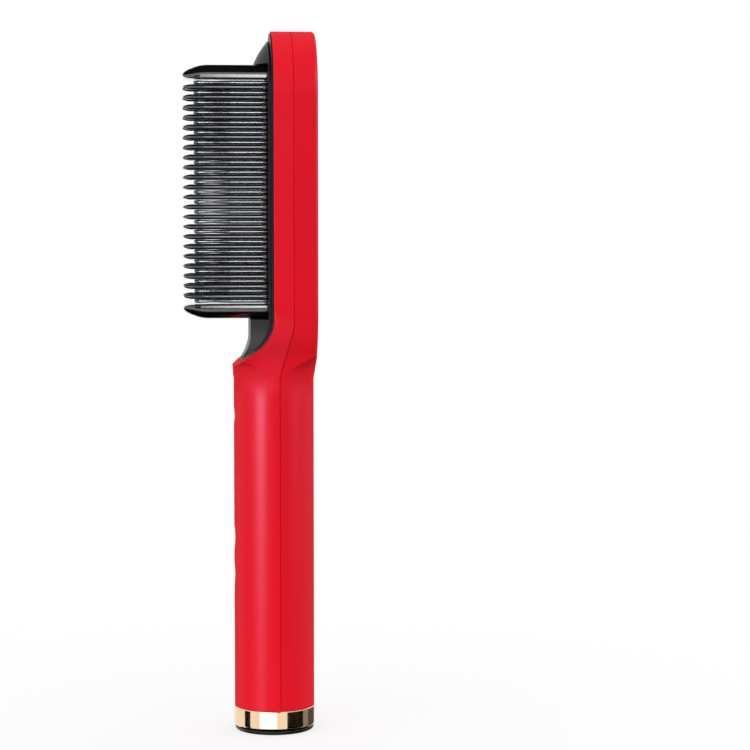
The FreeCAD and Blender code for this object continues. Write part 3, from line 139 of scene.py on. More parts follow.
# Stations along the comb's pieces: millimetres, lean, share of the width and share of the height.
TOOTH_ROOT = (
    (-2.4, 0.0, 1.05, 1.10),
    (-2.8, 0.0, 1.20, 1.42),
    (-3.4, 0.0, 1.26, 1.52),
    (-4.0, 0.0, 1.16, 1.32),
    (-4.5, 0.0, 0.98, 0.94),
    (-5.3, 0.0, 1.0, 1.0),
)
TOOTH_TIP = (
    (8.0, 0.0, 1.0, 1.0),
    (5.0, 0.0, 0.95, 0.98),
    (3.2, 0.0, 0.90, 1.0),
    (1.9, 0.0, 0.78, 0.86),
    (0.9, 0.0, 0.58, 0.60),
    (0.25, 0.0, 0.32, 0.30),
    (0.0, 0.0, 0.05, 0.04),
)
WALL_TIP = (
    (9.0, 0.0, 1.0, 1.0),
    (6.6, 0.05, 1.0, 0.94),
    (4.4, 0.12, 0.99, 0.82),
    (2.4, 0.12, 0.97, 0.66),
    (1.2, 0.08, 0.95, 0.52),
    (0.45, 0.05, 0.92, 0.38),
    (0.1, 0.02, 0.90, 0.22),
    (0.0, 0.0, 0.88, 0.10),
)
FIN_TIP = (
    (14.0, 0.0, 1.0, 1.0),
    (11.0, 0.0, 0.985, 0.90),
    (7.5, 0.0, 0.97, 0.74),
    (4.5, 0.0, 0.98, 0.84),
    (1.8, 0.0, 1.0, 1.0),
    (0.7, 0.0, 0.985, 0.90),
    (0.2, 0.0, 0.96, 0.62),
    (0.0, 0.0, 0.93, 0.25),
)

# Finishes of the inner pieces: colour and roughness.
INNER_FINISHES = {
    "heater_ceramic": ((0.55, 0.53, 0.48), 0.5),
    "mica": ((0.45, 0.40, 0.30), 0.4),
    "heat_plastic": ((0.05, 0.05, 0.05), 0.5),
    "sensor_glass": ((0.35, 0.20, 0.08), 0.2),
    "board": ((0.02, 0.14, 0.05), 0.4),
    "component_black": ((0.015, 0.015, 0.015), 0.4),
    "capacitor_can": ((0.10, 0.11, 0.16), 0.3),
    "plunger": ((0.03, 0.03, 0.03), 0.4),
    "lamp": ((0.80, 0.78, 0.62), 0.3),
    "clear_guide": ((0.75, 0.75, 0.73), 0.2),
    "cell_wrap": ((0.03, 0.16, 0.30), 0.35),
    "cradle": ((0.06, 0.06, 0.06), 0.5),
    "lead_cover": ((0.12, 0.02, 0.02), 0.5),
}
STEEL = (0.55, 0.55, 0.56)

# The studio: its floor, how far away the lights and the cards stand, and the cloths of the cards.
FLOOR_RADIUS = 6.0
FLOOR_TONES = ((0.86, 0.86, 0.86), (0.88, 0.88, 0.88))
FLOOR_FADE = (0.02, 0.30)
FLOOR_WHITE = 0.7
LIGHT_AIM = Vector((0.0, 0.0, 0.14))
LIGHT_DISTANCE = 1.2
CARD_DISTANCE = 1.6
BACK_AZIMUTH = 180.0
CLOTH_FADE = 0.9
CLOTHS = {
    "black": (0.005, 0.005, 0.005),
    "dark_grey": (0.16, 0.16, 0.16),
    "grey": (0.50, 0.50, 0.50),
    "olive": (0.42, 0.36, 0.20),
}

# Soft lights: name, setting of the power, what the turn counts from, turn and tilt in degrees, and
# width and height in metres.
SOFTBOXES = (
    ("fill_softbox", "fill", "camera", -40.0, 3.0, (0.9, 0.9)),
    ("back_softbox", "back", "camera", 112.0, -4.0, (0.9, 0.9)),
    ("neck_softbox", "neck", "camera", 14.0, -34.0, (0.6, 0.6)),
    ("left_strip", "panel", "back", 21.0, -3.0, (0.17, 0.9)),
    ("right_strip", "panel", "back", -21.0, -3.0, (0.17, 0.9)),
    ("key_softbox", "key", "camera", -38.0, 0.0, (0.45, 1.7)),
    ("side_softbox", "side", "camera", 65.0, 22.0, (0.35, 0.95)),
    ("ring_softbox", "ring", "camera", -18.0, -17.0, (1.0, 0.30)),
    ("comb_softbox", "comb", "camera", 20.0, 6.0, (0.7, 0.5)),
)

# Upright cards: name, cloth, what the degrees count from, first and last degree, and low and high
# edge in metres.
UPRIGHT_CARDS = (
    ("edge_flag", "black", "camera", -94.0, -73.0, -1.0, -0.24),
    ("camera_flag", "black", "camera", -8.0, 16.0, -0.24, 0.5),
    ("front_flag", "black", "camera", 36.0, 88.0, -1.0, -0.24),
    ("grey_flag", "grey", "camera", 88.0, 110.0, -1.0, -0.24),
    ("rear_flag", "dark_grey", "camera", 110.0, 150.0, -1.0, -0.24),
    ("back_flag", "black", "back", -12.0, 12.0, 0.0, 0.6),
    ("back_card", "olive", "back", -40.0, -12.0, 0.0, 0.6),
)

# Round level cards: name, height and radius in metres.
LEVEL_CARDS = (
    ("low_flag", -0.62, 0.95),
    ("ceiling_flag", 1.15, 1.5),
)


class Wire:
    """A socket of a node tree that takes part in plain arithmetic."""

    def __init__(self, tree, socket):
        self.tree = tree
        self.socket = socket

    def made(self, kind, settings, inputs, output=0):
        """Add a node of any kind: its settings first, then values or wires for its inputs."""
        node = self.tree.nodes.new(kind)
        for name, value in settings.items():
            setattr(node, name, value)
        for name, value in inputs.items():
            if isinstance(value, Wire):
                self.tree.links.new(value.socket, node.inputs[name])
            else:
                node.inputs[name].default_value = value
        return Wire(self.tree, node.outputs[output])

    def maths(self, operation, first, second=0.0):
        return self.made("ShaderNodeMath", {"operation": operation}, {0: first, 1: second})

    def __add__(self, other):
        return self.maths("ADD", self, other)

    def __radd__(self, other):
        return self.maths("ADD", other, self)

    def __sub__(self, other):
        return self.maths("SUBTRACT", self, other)

    def __rsub__(self, other):
        return self.maths("SUBTRACT", other, self)

    def __mul__(self, other):
        return self.maths("MULTIPLY", self, other)

    def __rmul__(self, other):
        return self.maths("MULTIPLY", other, self)

    def __abs__(self):
        return self.maths("ABSOLUTE", self)

    def at_most(self, other):
        return self.maths("MINIMUM", self, other)

    def at_least(self, other):
        return self.maths("MAXIMUM", self, other)

    def step(self, start, end):
        """A smooth rise from 0 to 1 between two values."""
        settings = {"interpolation_type": "SMOOTHSTEP"}
        inputs = {"Value": self, "From Min": start, "From Max": end}
        return self.made("ShaderNodeMapRange", settings, inputs)

    def between(self, start, end):
        """A smooth rise over one pair of values and a fall over another."""
        return self.step(*start) * (1.0 - self.step(*end))


def opaque(colour):
    return (*colour, 1.0)


def darker(colour, share):
    return tuple(channel * share for channel in colour)


def new_material(name, constants):
    """A material with one surface shader; returns it, the shader and the object position."""
    material = bpy.data.materials.new(name)
    material.use_nodes = True
    tree = material.node_tree
    tree.nodes.clear()
    output = tree.nodes.new("ShaderNodeOutputMaterial")
    shader = tree.nodes.new("ShaderNodeBsdfPrincipled")
    tree.links.new(shader.outputs["BSDF"], output.inputs["Surface"])
    for socket, value in constants.items():
        shader.inputs[socket].default_value = value
    position = Wire(tree, tree.nodes.new("ShaderNodeTexCoord").outputs["Object"])
    return material, shader, position


def feed(shader, socket, wire):
    """Link a wire to a socket of the shader."""
    wire.tree.links.new(wire.socket, shader.inputs[socket])


def noise(position, scale, detail=2.0):
    inputs = {"Vector": position, "Scale": scale, "Detail": detail}
    return position.made("ShaderNodeTexNoise", {}, inputs, "Fac")


def drift(position):
    """A slow change of tone over a moulded or coated surface."""
    return noise(position, DRIFT_SCALE)


def fine_grain(position):
    """The finest grain of a moulded or coated surface."""
    return noise(position, GRAIN_SCALE, FINE_DETAIL)


def along(position, axis):
    """One coordinate of the object position."""
    return position.made("ShaderNodeSeparateXYZ", {}, {0: position}, axis)


def stretched(vector, factors):
    settings = {"operation": "MULTIPLY"}
    return vector.made("ShaderNodeVectorMath", settings, {0: vector, 1: factors}, "Vector")


def blended(factor, first, second):
    """A colour between two others, each a plain colour or a wire."""
    first, second = (item if isinstance(item, Wire) else opaque(item) for item in (first, second))
    return factor.made("ShaderNodeMix", {"data_type": "RGBA"}, {0: factor, 6: first, 7: second}, 2)


def rounded(position, radius):
    """The normal of the surface with its edges rounded by a radius."""
    return position.made("ShaderNodeBevel", {"samples": 8}, {"Radius": radius})


def relief(height, strength, under=None):
    """A fine bump from a height, on the surface's own normal or on another one."""
    inputs = {"Strength": strength, "Distance": GRAIN_DEPTH, "Height": height}
    if under:
        inputs["Normal"] = under
    return height.made("ShaderNodeBump", {}, inputs, "Normal")


def grained(name, colour, fade, roughness, spread, grain, soft_edge=0.0, constants=None):
    """A moulded or coated surface: a faint drift of tone and a fine grain in gloss and relief."""
    material, shader, position = new_material(name, constants or {})
    fine = fine_grain(position)
    feed(shader, "Base Color", blended(drift(position), colour, darker(colour, fade)))
    feed(shader, "Roughness", fine * spread + roughness)
    under = rounded(position, soft_edge) if soft_edge else None
    feed(shader, "Normal", relief(fine, grain, under))
    return material


def brushed(name, colour, fade, roughness, spread):
    """A polished metal with faint streaks along the handle in its gloss."""
    material, shader, position = new_material(name, {"Metallic": 1.0})
    streak = noise(stretched(position, STREAK_STRETCH), STREAK_SCALE, FINE_DETAIL)
    cloud = noise(position, CLOUD_SCALE)
    feed(shader, "Base Color", blended(cloud, colour, darker(colour, fade)))
    feed(shader, "Roughness", streak * spread + roughness)
    return material


class BrushColours(bpy.types.PropertyGroup):
    """Colours of the finished brush."""

    shell: bpy.props.FloatVectorProperty(
        name="Shell", description="Satin red of the two shell halves", subtype="COLOR", size=3,
        default=(0.86, 0.006, 0.017),
    )
    panel: bpy.props.FloatVectorProperty(
        name="Back panel", description="Red of the domed panel", subtype="COLOR", size=3,
        default=(0.66, 0.004, 0.010),
    )
    gold: bpy.props.FloatVectorProperty(
        name="Gold", description="Metal of the bottom ring", subtype="COLOR", size=3,
        default=(0.95, 0.68, 0.44),
    )
    champagne: bpy.props.FloatVectorProperty(
        name="Champagne", description="Metal of the ring on the back", subtype="COLOR", size=3,
        default=(0.80, 0.68, 0.44),
    )
    guard: bpy.props.FloatVectorProperty(
        name="Guard comb", description="Glossy black of the guard teeth", subtype="COLOR", size=3,
        default=(0.006, 0.006, 0.007),
    )
    fins: bpy.props.FloatVectorProperty(
        name="Heated fins", description="Coated metal of the fins", subtype="COLOR", size=3,
        default=(0.36, 0.39, 0.44),
    )
    bezel: bpy.props.FloatVectorProperty(
        name="Bezel", description="Dark grey of the frame round the comb", subtype="COLOR", size=3,
        default=(0.011, 0.011, 0.012),
    )
    # Painted highlight: a paler colour painted on the end of the frame's tail, standing in for the
    # light that falls there.
    tail: bpy.props.FloatVectorProperty(
        name="Tail", description="Paler black at the end of the frame's tail", subtype="COLOR",
        size=3, default=(0.10, 0.095, 0.095),
    )
    pale_button: bpy.props.FloatVectorProperty(
        name="Power button", description="Pale cap of the power button", subtype="COLOR", size=3,
        default=(0.62, 0.66, 0.63),
    )


class BrushSizes(bpy.types.PropertyGroup):
    """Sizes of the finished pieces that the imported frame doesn't give."""

    tooth_count: bpy.props.IntProperty(
        name="Teeth", description="Guard teeth in a row", default=22, min=1,
    )
    tooth_thickness: bpy.props.FloatProperty(
        name="Tooth thickness", description="Height of a guard tooth along the comb",
        unit="LENGTH", default=2.1 * MM,
    )
    tooth_depth: bpy.props.FloatProperty(
        name="Tooth depth", description="Width of a guard tooth across the comb",
        unit="LENGTH", default=3.3 * MM,
    )
    tooth_inner: bpy.props.FloatProperty(
        name="Tooth row", description="Distance from the middle of the comb to a row",
        unit="LENGTH", default=7.0 * MM,
    )
    end_wall: bpy.props.FloatProperty(
        name="End wall", description="Thickness of the wall at each end of the comb",
        unit="LENGTH", default=5.2 * MM,
    )
    wall_swell: bpy.props.FloatProperty(
        name="Wall swell", description="How far an end wall swells towards the nearest fin",
        unit="LENGTH", default=0.45 * MM,
    )
    fin_width: bpy.props.FloatProperty(
        name="Fin width", description="Width of a heated fin across the comb",
        unit="LENGTH", default=12.0 * MM,
    )
    fin_thickness: bpy.props.FloatProperty(
        name="Fin thickness", description="Thickness of a heated fin",
        unit="LENGTH", default=1.7 * MM,
    )
    fin_end_gap: bpy.props.FloatProperty(
        name="Fin gap", description="Gap between an end wall and its nearest fin",
        unit="LENGTH", default=0.767 * MM,
    )
    plinth_overlap: bpy.props.FloatProperty(
        name="Flange", description="How far the comb's hidden flange runs past its ends",
        unit="LENGTH", default=4.0 * MM,
    )
    wall_outer_round: bpy.props.FloatProperty(
        name="Wall outer round", description="Rounding of an end wall's outer edges",
        unit="LENGTH", default=4.2 * MM,
    )
    wall_inner_round: bpy.props.FloatProperty(
        name="Wall inner round", description="Rounding of an end wall's edges beside the fins",
        unit="LENGTH", default=0.7 * MM,
    )
    ring_round: bpy.props.FloatProperty(
        name="Ring round", description="Rounding of the bottom ring's lower edge",
        unit="LENGTH", default=1.3 * MM,
    )
    trim_width: bpy.props.FloatProperty(
        name="Trim width", description="Width of the gold band on the back",
        unit="LENGTH", default=4.8 * MM,
    )
    trim_bevel: bpy.props.FloatProperty(
        name="Trim bevel", description="Slope along the outer edge of the gold band",
        unit="LENGTH", default=0.5 * MM,
    )
    trim_slope: bpy.props.FloatProperty(
        name="Trim slope", description="How far the gold band falls towards the panel",
        unit="LENGTH", default=0.7 * MM,
    )
    panel_crown: bpy.props.FloatProperty(
        name="Panel crown", description="Rise of the panel's middle above its edge",
        unit="LENGTH", default=1.0 * MM,
    )
    edge_round: bpy.props.FloatProperty(
        name="Edge round", description="Rounding of the turned pieces' edges",
        unit="LENGTH", default=0.22 * MM,
    )


class StudioSettings(bpy.types.PropertyGroup):
    """Places of the camera and strengths of the studio lights."""

    azimuth: bpy.props.FloatProperty(
        name="Azimuth", description="Angle of the camera round the brush",
        subtype="ANGLE", default=math.radians(87.0),
    )
    distance: bpy.props.FloatProperty(
        name="Distance", description="Distance of the camera from the handle's axis",
        unit="LENGTH", default=0.93,
    )
    height: bpy.props.FloatProperty(
        name="Height", description="Height of the camera above the floor",
        unit="LENGTH", default=0.205,
    )
    aim_side: bpy.props.FloatProperty(
        name="Aim aside", description="How far beside the axis the camera looks",
        unit="LENGTH", default=0.0400,
    )
    aim_height: bpy.props.FloatProperty(
        name="Aim height", description="Height that the camera looks at",
        unit="LENGTH", default=0.1405,
    )
    lens: bpy.props.FloatProperty(
        name="Lens", description="Focal length", subtype="DISTANCE_CAMERA", default=113.36,
    )
    surround: bpy.props.FloatProperty(
        name="Surround", description="Strength of the white surround as a light", default=1.0,
    )
    fill: bpy.props.FloatProperty(
        name="Fill light", description="Power of the large softbox beside the camera",
        unit="POWER", default=5.8,
    )
    back: bpy.props.FloatProperty(
        name="Back light", description="Power of the large softbox behind the brush",
        unit="POWER", default=7.0,
    )
    neck: bpy.props.FloatProperty(
        name="Neck light", description="Power of the softbox that lifts the neck's underside",
        unit="POWER", default=3.0,
    )
    panel: bpy.props.FloatProperty(
        name="Panel gloss", description="Power of each strip that lights an edge of the panel",
        unit="POWER", default=5.5,
    )
    key: bpy.props.FloatProperty(
        name="Key gloss", description="Power of the tall strip beside the camera",
        unit="POWER", default=55.0,
    )
    side: bpy.props.FloatProperty(
        name="Side gloss", description="Power of the strip at the back of the brush",
        unit="POWER", default=11.0,
    )
    ring: bpy.props.FloatProperty(
        name="Ring gloss", description="Power of the low strip that whitens the ring",
        unit="POWER", default=1.6,
    )
    comb: bpy.props.FloatProperty(
        name="Comb gloss", description="Power of the strip that lights the comb",
        unit="POWER", default=7.0,
    )


def filled(name, bm):
    """A mesh that takes over a finished bmesh."""
    mesh = bpy.data.meshes.new(name)
    bm.to_mesh(mesh)
    bm.free()
    return mesh


def placed(name, data):
    """A new object in the scene."""
    item = bpy.data.objects.new(name, data)
    bpy.context.scene.collection.objects.link(item)
    return item


def new_piece(name, bm, material, node, body="housing", sharp=35.0):
    """Turn a finished bmesh into a piece that stands for a packed sub-part."""
    bmesh.ops.remove_doubles(bm, verts=bm.verts[:], dist=WELD)
    bmesh.ops.recalc_face_normals(bm, faces=bm.faces[:])
    mesh = filled(name, bm)
    mesh.shade_smooth()
    mesh.set_sharp_from_angle(angle=math.radians(sharp))
    mesh.materials.append(material)
    piece = placed(name, mesh)
    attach(piece, body)
    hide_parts(node)


def coat(node, material):
    """Give a packed sub-part its finish."""
    for holder in frame["nodes"][node].material_slots:
        holder.material = material


def bevelled(bm, geom, width, segments, affect="EDGES"):
    """Round some edges or corners."""
    bmesh.ops.bevel(
        bm, geom=geom, offset=width, offset_type="OFFSET", affect=affect, segments=segments,
        profile=0.5, material=-1,
    )


def softened(bm, width, limit, segments=3):
    """Round every edge that is sharper than a limit in degrees."""
    least = math.radians(limit)
    edges = [edge for edge in bm.edges if edge.is_manifold and edge.calc_face_angle() > least]
    bevelled(bm, edges, width, segments)


def slot_face(bm, width, thickness, sides, centre):
    """A face square to the Y axis with straight long sides and round ends."""
    verts = bmesh.ops.create_circle(
        bm, cap_ends=True, segments=sides, radius=thickness / 2, matrix=FACE_FRONT
    )["verts"]
    reach = (width - thickness) / 2
    for side in (1, -1):
        half = [vert for vert in verts if vert.co.x * side > WELD]
        bmesh.ops.translate(bm, verts=half, vec=(side * reach, 0.0, 0.0))
    bmesh.ops.translate(bm, verts=verts, vec=centre)
    return verts[0].link_faces[0]


def block_face(bm, x, z, y, low_round=0.0, high_round=0.0):
    """A rectangular face square to the Y axis, with its low and high corners rounded."""
    before = set(bm.faces)
    verts = bmesh.ops.create_grid(
        bm, x_segments=1, y_segments=1, size=0.5, matrix=FACE_FRONT
    )["verts"]
    bmesh.ops.scale(bm, verts=verts, vec=(x[1] - x[0], 1.0, z[1] - z[0]))
    bmesh.ops.translate(bm, verts=verts, vec=((x[0] + x[1]) / 2, y, (z[0] + z[1]) / 2))
    face, = (item for item in bm.faces if item not in before)
    for level, corner in zip(z, (low_round, high_round)):
        if corner:
            corners = [vert for vert in face.verts if abs(vert.co.z - level) < WELD]
            bevelled(bm, corners, corner, segments=10, affect="VERTICES")
            face, = (item for item in bm.faces if item not in before)
    return face


def stations(rows, start=0.0, lean=0.0):
    """Rows of a table in metres, from a place along Y, with a full lean along Z."""
    return [(start + reach * MM, lean * share, wide, tall) for reach, share, wide, tall in rows]


def drawn(bm, face, places):
    """Pull a face along Y; each place gives its Y, a shift along Z and shares of its size."""
    wide, tall = 1.0, 1.0
    for reach, shift, next_wide, next_tall in places:
        made = bmesh.ops.extrude_face_region(bm, geom=[face])
        face = next(item for item in made["geom"] if isinstance(item, bmesh.types.BMFace))
        middle = face.calc_center_bounds()
        verts = face.verts[:]
        shares = (next_wide / wide, 1.0, next_tall / tall)
        bmesh.ops.scale(bm, verts=verts, vec=shares, space=Matrix.Translation(-middle))
        bmesh.ops.translate(bm, verts=verts, vec=(0.0, reach - middle.y, shift))
        wide, tall = next_wide, next_tall


def block(bm, x, z, rear, front):
    """A plain block between two places along Y."""
    drawn(bm, block_face(bm, x, z, rear), [(front, 0.0, 1.0, 1.0)])


def copied_up(bm, geom, pitch, count):
    """Copies of a shape above it, a pitch apart."""
    for number in range(1, count):
        made = bmesh.ops.duplicate(bm, geom=geom)
        verts = [item for item in made["geom"] if isinstance(item, bmesh.types.BMVert)]
        bmesh.ops.translate(bm, verts=verts, vec=(0.0, 0.0, pitch * number))


def everything(bm):
    return bm.verts[:] + bm.edges[:] + bm.faces[:]


def spun(profile, axis, steps):
    """A closed chain of (radius, height) points turned about the Y or Z axis."""
    bm = bmesh.new()
    for radius, height in profile:
        bm.verts.new((radius, height, 0.0) if axis.y else (radius, 0.0, height))
    verts = bm.verts[:]
    edges = [bm.edges.new(pair) for pair in zip(verts, verts[1:] + verts[:1])]
    bmesh.ops.spin(
        bm, geom=verts + edges, cent=ORIGIN, axis=axis, angle=math.tau, steps=steps, use_merge=True
    )
    return bm


def pulled_apart(bm, low, high):
    """Part a shape turned about the Y axis into a long shape between two heights."""
    half_step = Matrix.Rotation(math.pi / HEAD_STEPS, 3, "Y")
    bmesh.ops.rotate(bm, verts=bm.verts[:], cent=ORIGIN, matrix=half_step)
    upper = [vert for vert in bm.verts if vert.co.z > 0.0]
    lower = [vert for vert in bm.verts if vert.co.z <= 0.0]
    bmesh.ops.translate(bm, verts=upper, vec=(0.0, 0.0, high))
    bmesh.ops.translate(bm, verts=lower, vec=(0.0, 0.0, low))


def comb_ends(sizes):
    """The heights of the comb's two ends, without its hidden flange."""
    low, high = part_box("guard_comb")
    return low.z + sizes.plinth_overlap, high.z - sizes.plinth_overlap


def fin_pitch(sizes, ends):
    """The step between fins, and between teeth, along the comb."""
    inset = sizes.end_wall + sizes.fin_end_gap + sizes.fin_thickness / 2
    return (ends[1] - ends[0] - inset * 2) / sizes.tooth_count


class BRUSH_OT_inside(bpy.types.Operator):
    """Give the inner pieces their finishes"""

    bl_idname = "brush.inside"
    bl_label = "Inner pieces"

    def execute(self, context):
        finishes = {
            slot: grained(slot, colour, 0.8, roughness, spread=0.1, grain=MOULD_GRAIN)
            for slot, (colour, roughness) in INNER_FINISHES.items()
        }
        finishes["steel"] = brushed("steel", STEEL, fade=0.8, roughness=0.25, spread=0.1)
        for item in frame["record"]["subparts"]:
            if item["material_slot"] in finishes:
                coat(item["node"], finishes[item["material_slot"]])
        return {"FINISHED"}


class BRUSH_OT_shell(bpy.types.Operator):
    """Give the two shell halves and the buttons their satin finish"""

    bl_idname = "brush.shell"
    bl_label = "Shell"

    def execute(self, context):
        colours = context.scene.brush_colours
        red = self.moulded(colours.shell)
        for node in ("front_shell", "back_shell"):
            coat(node, red)
        cap = grained(
            "red_button", colours.shell, fade=0.9, roughness=SHELL_ROUGHNESS, spread=SHELL_SPREAD,
            grain=MOULD_GRAIN, soft_edge=SOFT_EDGE, constants=SATIN,
        )
        for node in ("plus_button", "minus_button"):
            coat(node, cap)
        pale = grained(
            "pale_button", colours.pale_button, fade=0.9, roughness=0.25, spread=0.06,
            grain=MOULD_GRAIN, soft_edge=SOFT_EDGE,
        )
        coat("power_button", pale)
        return {"FINISHED"}

    def moulded(self, red):
        """The satin red, with the creases of the neck softened into one flowing form."""
        material, shader, position = new_material("red_shell", SATIN)
        fine = fine_grain(position)
        feed(shader, "Base Color", blended(drift(position), red, darker(red, SHELL_FADE)))
        depth = along(position, "Y")
        height = along(position, "Z")
        neck = height.between(NECK_START, NECK_END)
        edge_on = position.made("ShaderNodeLayerWeight", {}, {"Blend": 0.5}, "Facing")
        rough = fine * SHELL_SPREAD + neck * NECK_MATT + edge_on * edge_on * EDGE_MATT
        feed(shader, "Roughness", (rough + SHELL_ROUGHNESS).at_most(MOST_MATT))
        flank = neck * depth.step(*SCOOP_EDGE)
        widest = flank * (1.0 - depth.step(*BACK_EDGE)) * NECK_ROUND + SOFT_EDGE
        seam = height.step(*SEAM_RISE) * SEAM_SHIFT + SEAM_DEPTH
        soft = rounded(position, widest.at_most(abs(depth - seam) * SEAM_REACH))
        upright = 1.0 - flank.at_least(height.between(LIP_START, LIP_END)) * NECK_LEVEL
        level = depth.made("ShaderNodeCombineXYZ", {}, {"X": 1.0, "Y": 1.0, "Z": upright})
        flowing = stretched(soft, level)
        flowing = flowing.made("ShaderNodeVectorMath", {"operation": "NORMALIZE"}, {0: flowing})
        feed(shader, "Normal", relief(fine, MOULD_GRAIN, flowing))
        return material


class BRUSH_OT_back_trim(bpy.types.Operator):
    """Model the gold band on the back of the head and the domed panel inside it"""

    bl_idname = "brush.back_trim"
    bl_label = "Back trim"

    def execute(self, context):
        colours = context.scene.brush_colours
        sizes = context.scene.brush_sizes
        low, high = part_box("back_trim_ring")
        heights = low.z + high.x, high.z - high.x
        self.band(colours.champagne, sizes, low, high, heights)
        self.panel(colours.panel, sizes, heights)
        return {"FINISHED"}

    def band(self, champagne, sizes, low, high, heights):
        """A band with a bevelled outer edge and a narrow top that slopes down to the panel."""
        radius = high.x
        inner = radius - sizes.trim_width
        crest = radius - sizes.trim_bevel
        profile = [
            (inner, low.y),
            (radius, low.y),
            (radius, high.y - sizes.trim_bevel),
            (crest, high.y),
            (crest - BAND_TOP, high.y),
            (inner, high.y - sizes.trim_slope),
        ]
        bm = spun(profile, TO_BACK, HEAD_STEPS)
        softened(bm, sizes.edge_round, limit=9.0)
        pulled_apart(bm, *heights)
        gold = brushed("gold_trim", champagne, fade=0.9, roughness=0.14, spread=0.06)
        new_piece("trim_band", bm, gold, "back_trim_ring")

    def panel(self, red, sizes, heights):
        """A plate with a flat middle that falls away towards its edge."""
        low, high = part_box("back_panel")
        radius = high.x
        core = PANEL_CORE
        crown = sizes.panel_crown
        fall = [(radius * share, high.y - crown * share ** PANEL_FALL) for share in PANEL_SHARES]
        bm = spun([(core, high.y), *fall, (radius, low.y), (core, low.y)], TO_BACK, HEAD_STEPS)
        pulled_apart(bm, *heights)
        middle = [
            vert for vert in bm.verts
            if abs(vert.co.x) <= core and heights[0] - core <= vert.co.z <= heights[1] + core
        ]
        bmesh.ops.remove_doubles(bm, verts=middle, dist=3.0 * core)
        softened(bm, PANEL_RIM, limit=50.0)
        glossy = grained(
            "red_panel", red, fade=0.95, roughness=0.14, spread=0.04, grain=0.05,
            constants={"Specular IOR Level": 0.2, "Specular Tint": PINK_GLOSS},
        )
        new_piece("domed_panel", bm, glossy, "back_panel")


class BRUSH_OT_bottom_end(bpy.types.Operator):
    """Turn the polished gold ring above the black cap at the bottom"""

    bl_idname = "brush.bottom_end"
    bl_label = "Bottom end"

    def execute(self, context):
        colours = context.scene.brush_colours
        sizes = context.scene.brush_sizes
        low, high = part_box("end_ring")
        radius = high.x
        inner = radius - RING_WALL
        profile = [
            (inner, low.z),
            (radius, low.z),
            (radius, low.z + sizes.ring_round + RING_HOLD),
            (radius, high.z - RING_HOLD),
            (radius, high.z),
            (inner, high.z),
        ]
        bm = spun(profile, TO_TOP, RING_STEPS)
        foot = {
            vert for vert in bm.verts
            if abs(vert.co.z - low.z) < WELD and vert.co.xy.length > inner + WELD
        }
        lowest = [edge for edge in bm.edges if foot.issuperset(edge.verts)]
        bevelled(bm, lowest, sizes.ring_round, segments=8)
        softened(bm, sizes.edge_round, limit=40.0, segments=4)
        gold = brushed("gold_ring", colours.gold, fade=0.95, roughness=0.07, spread=0.04)
        new_piece("polished_ring", bm, gold, "end_ring")
        cap = grained(
            "black_cap", darker(colours.bezel, 0.4), fade=0.75, roughness=0.30, spread=0.08,
            grain=MOULD_GRAIN, soft_edge=SOFT_EDGE,
        )
        coat("end_cap", cap)
        return {"FINISHED"}


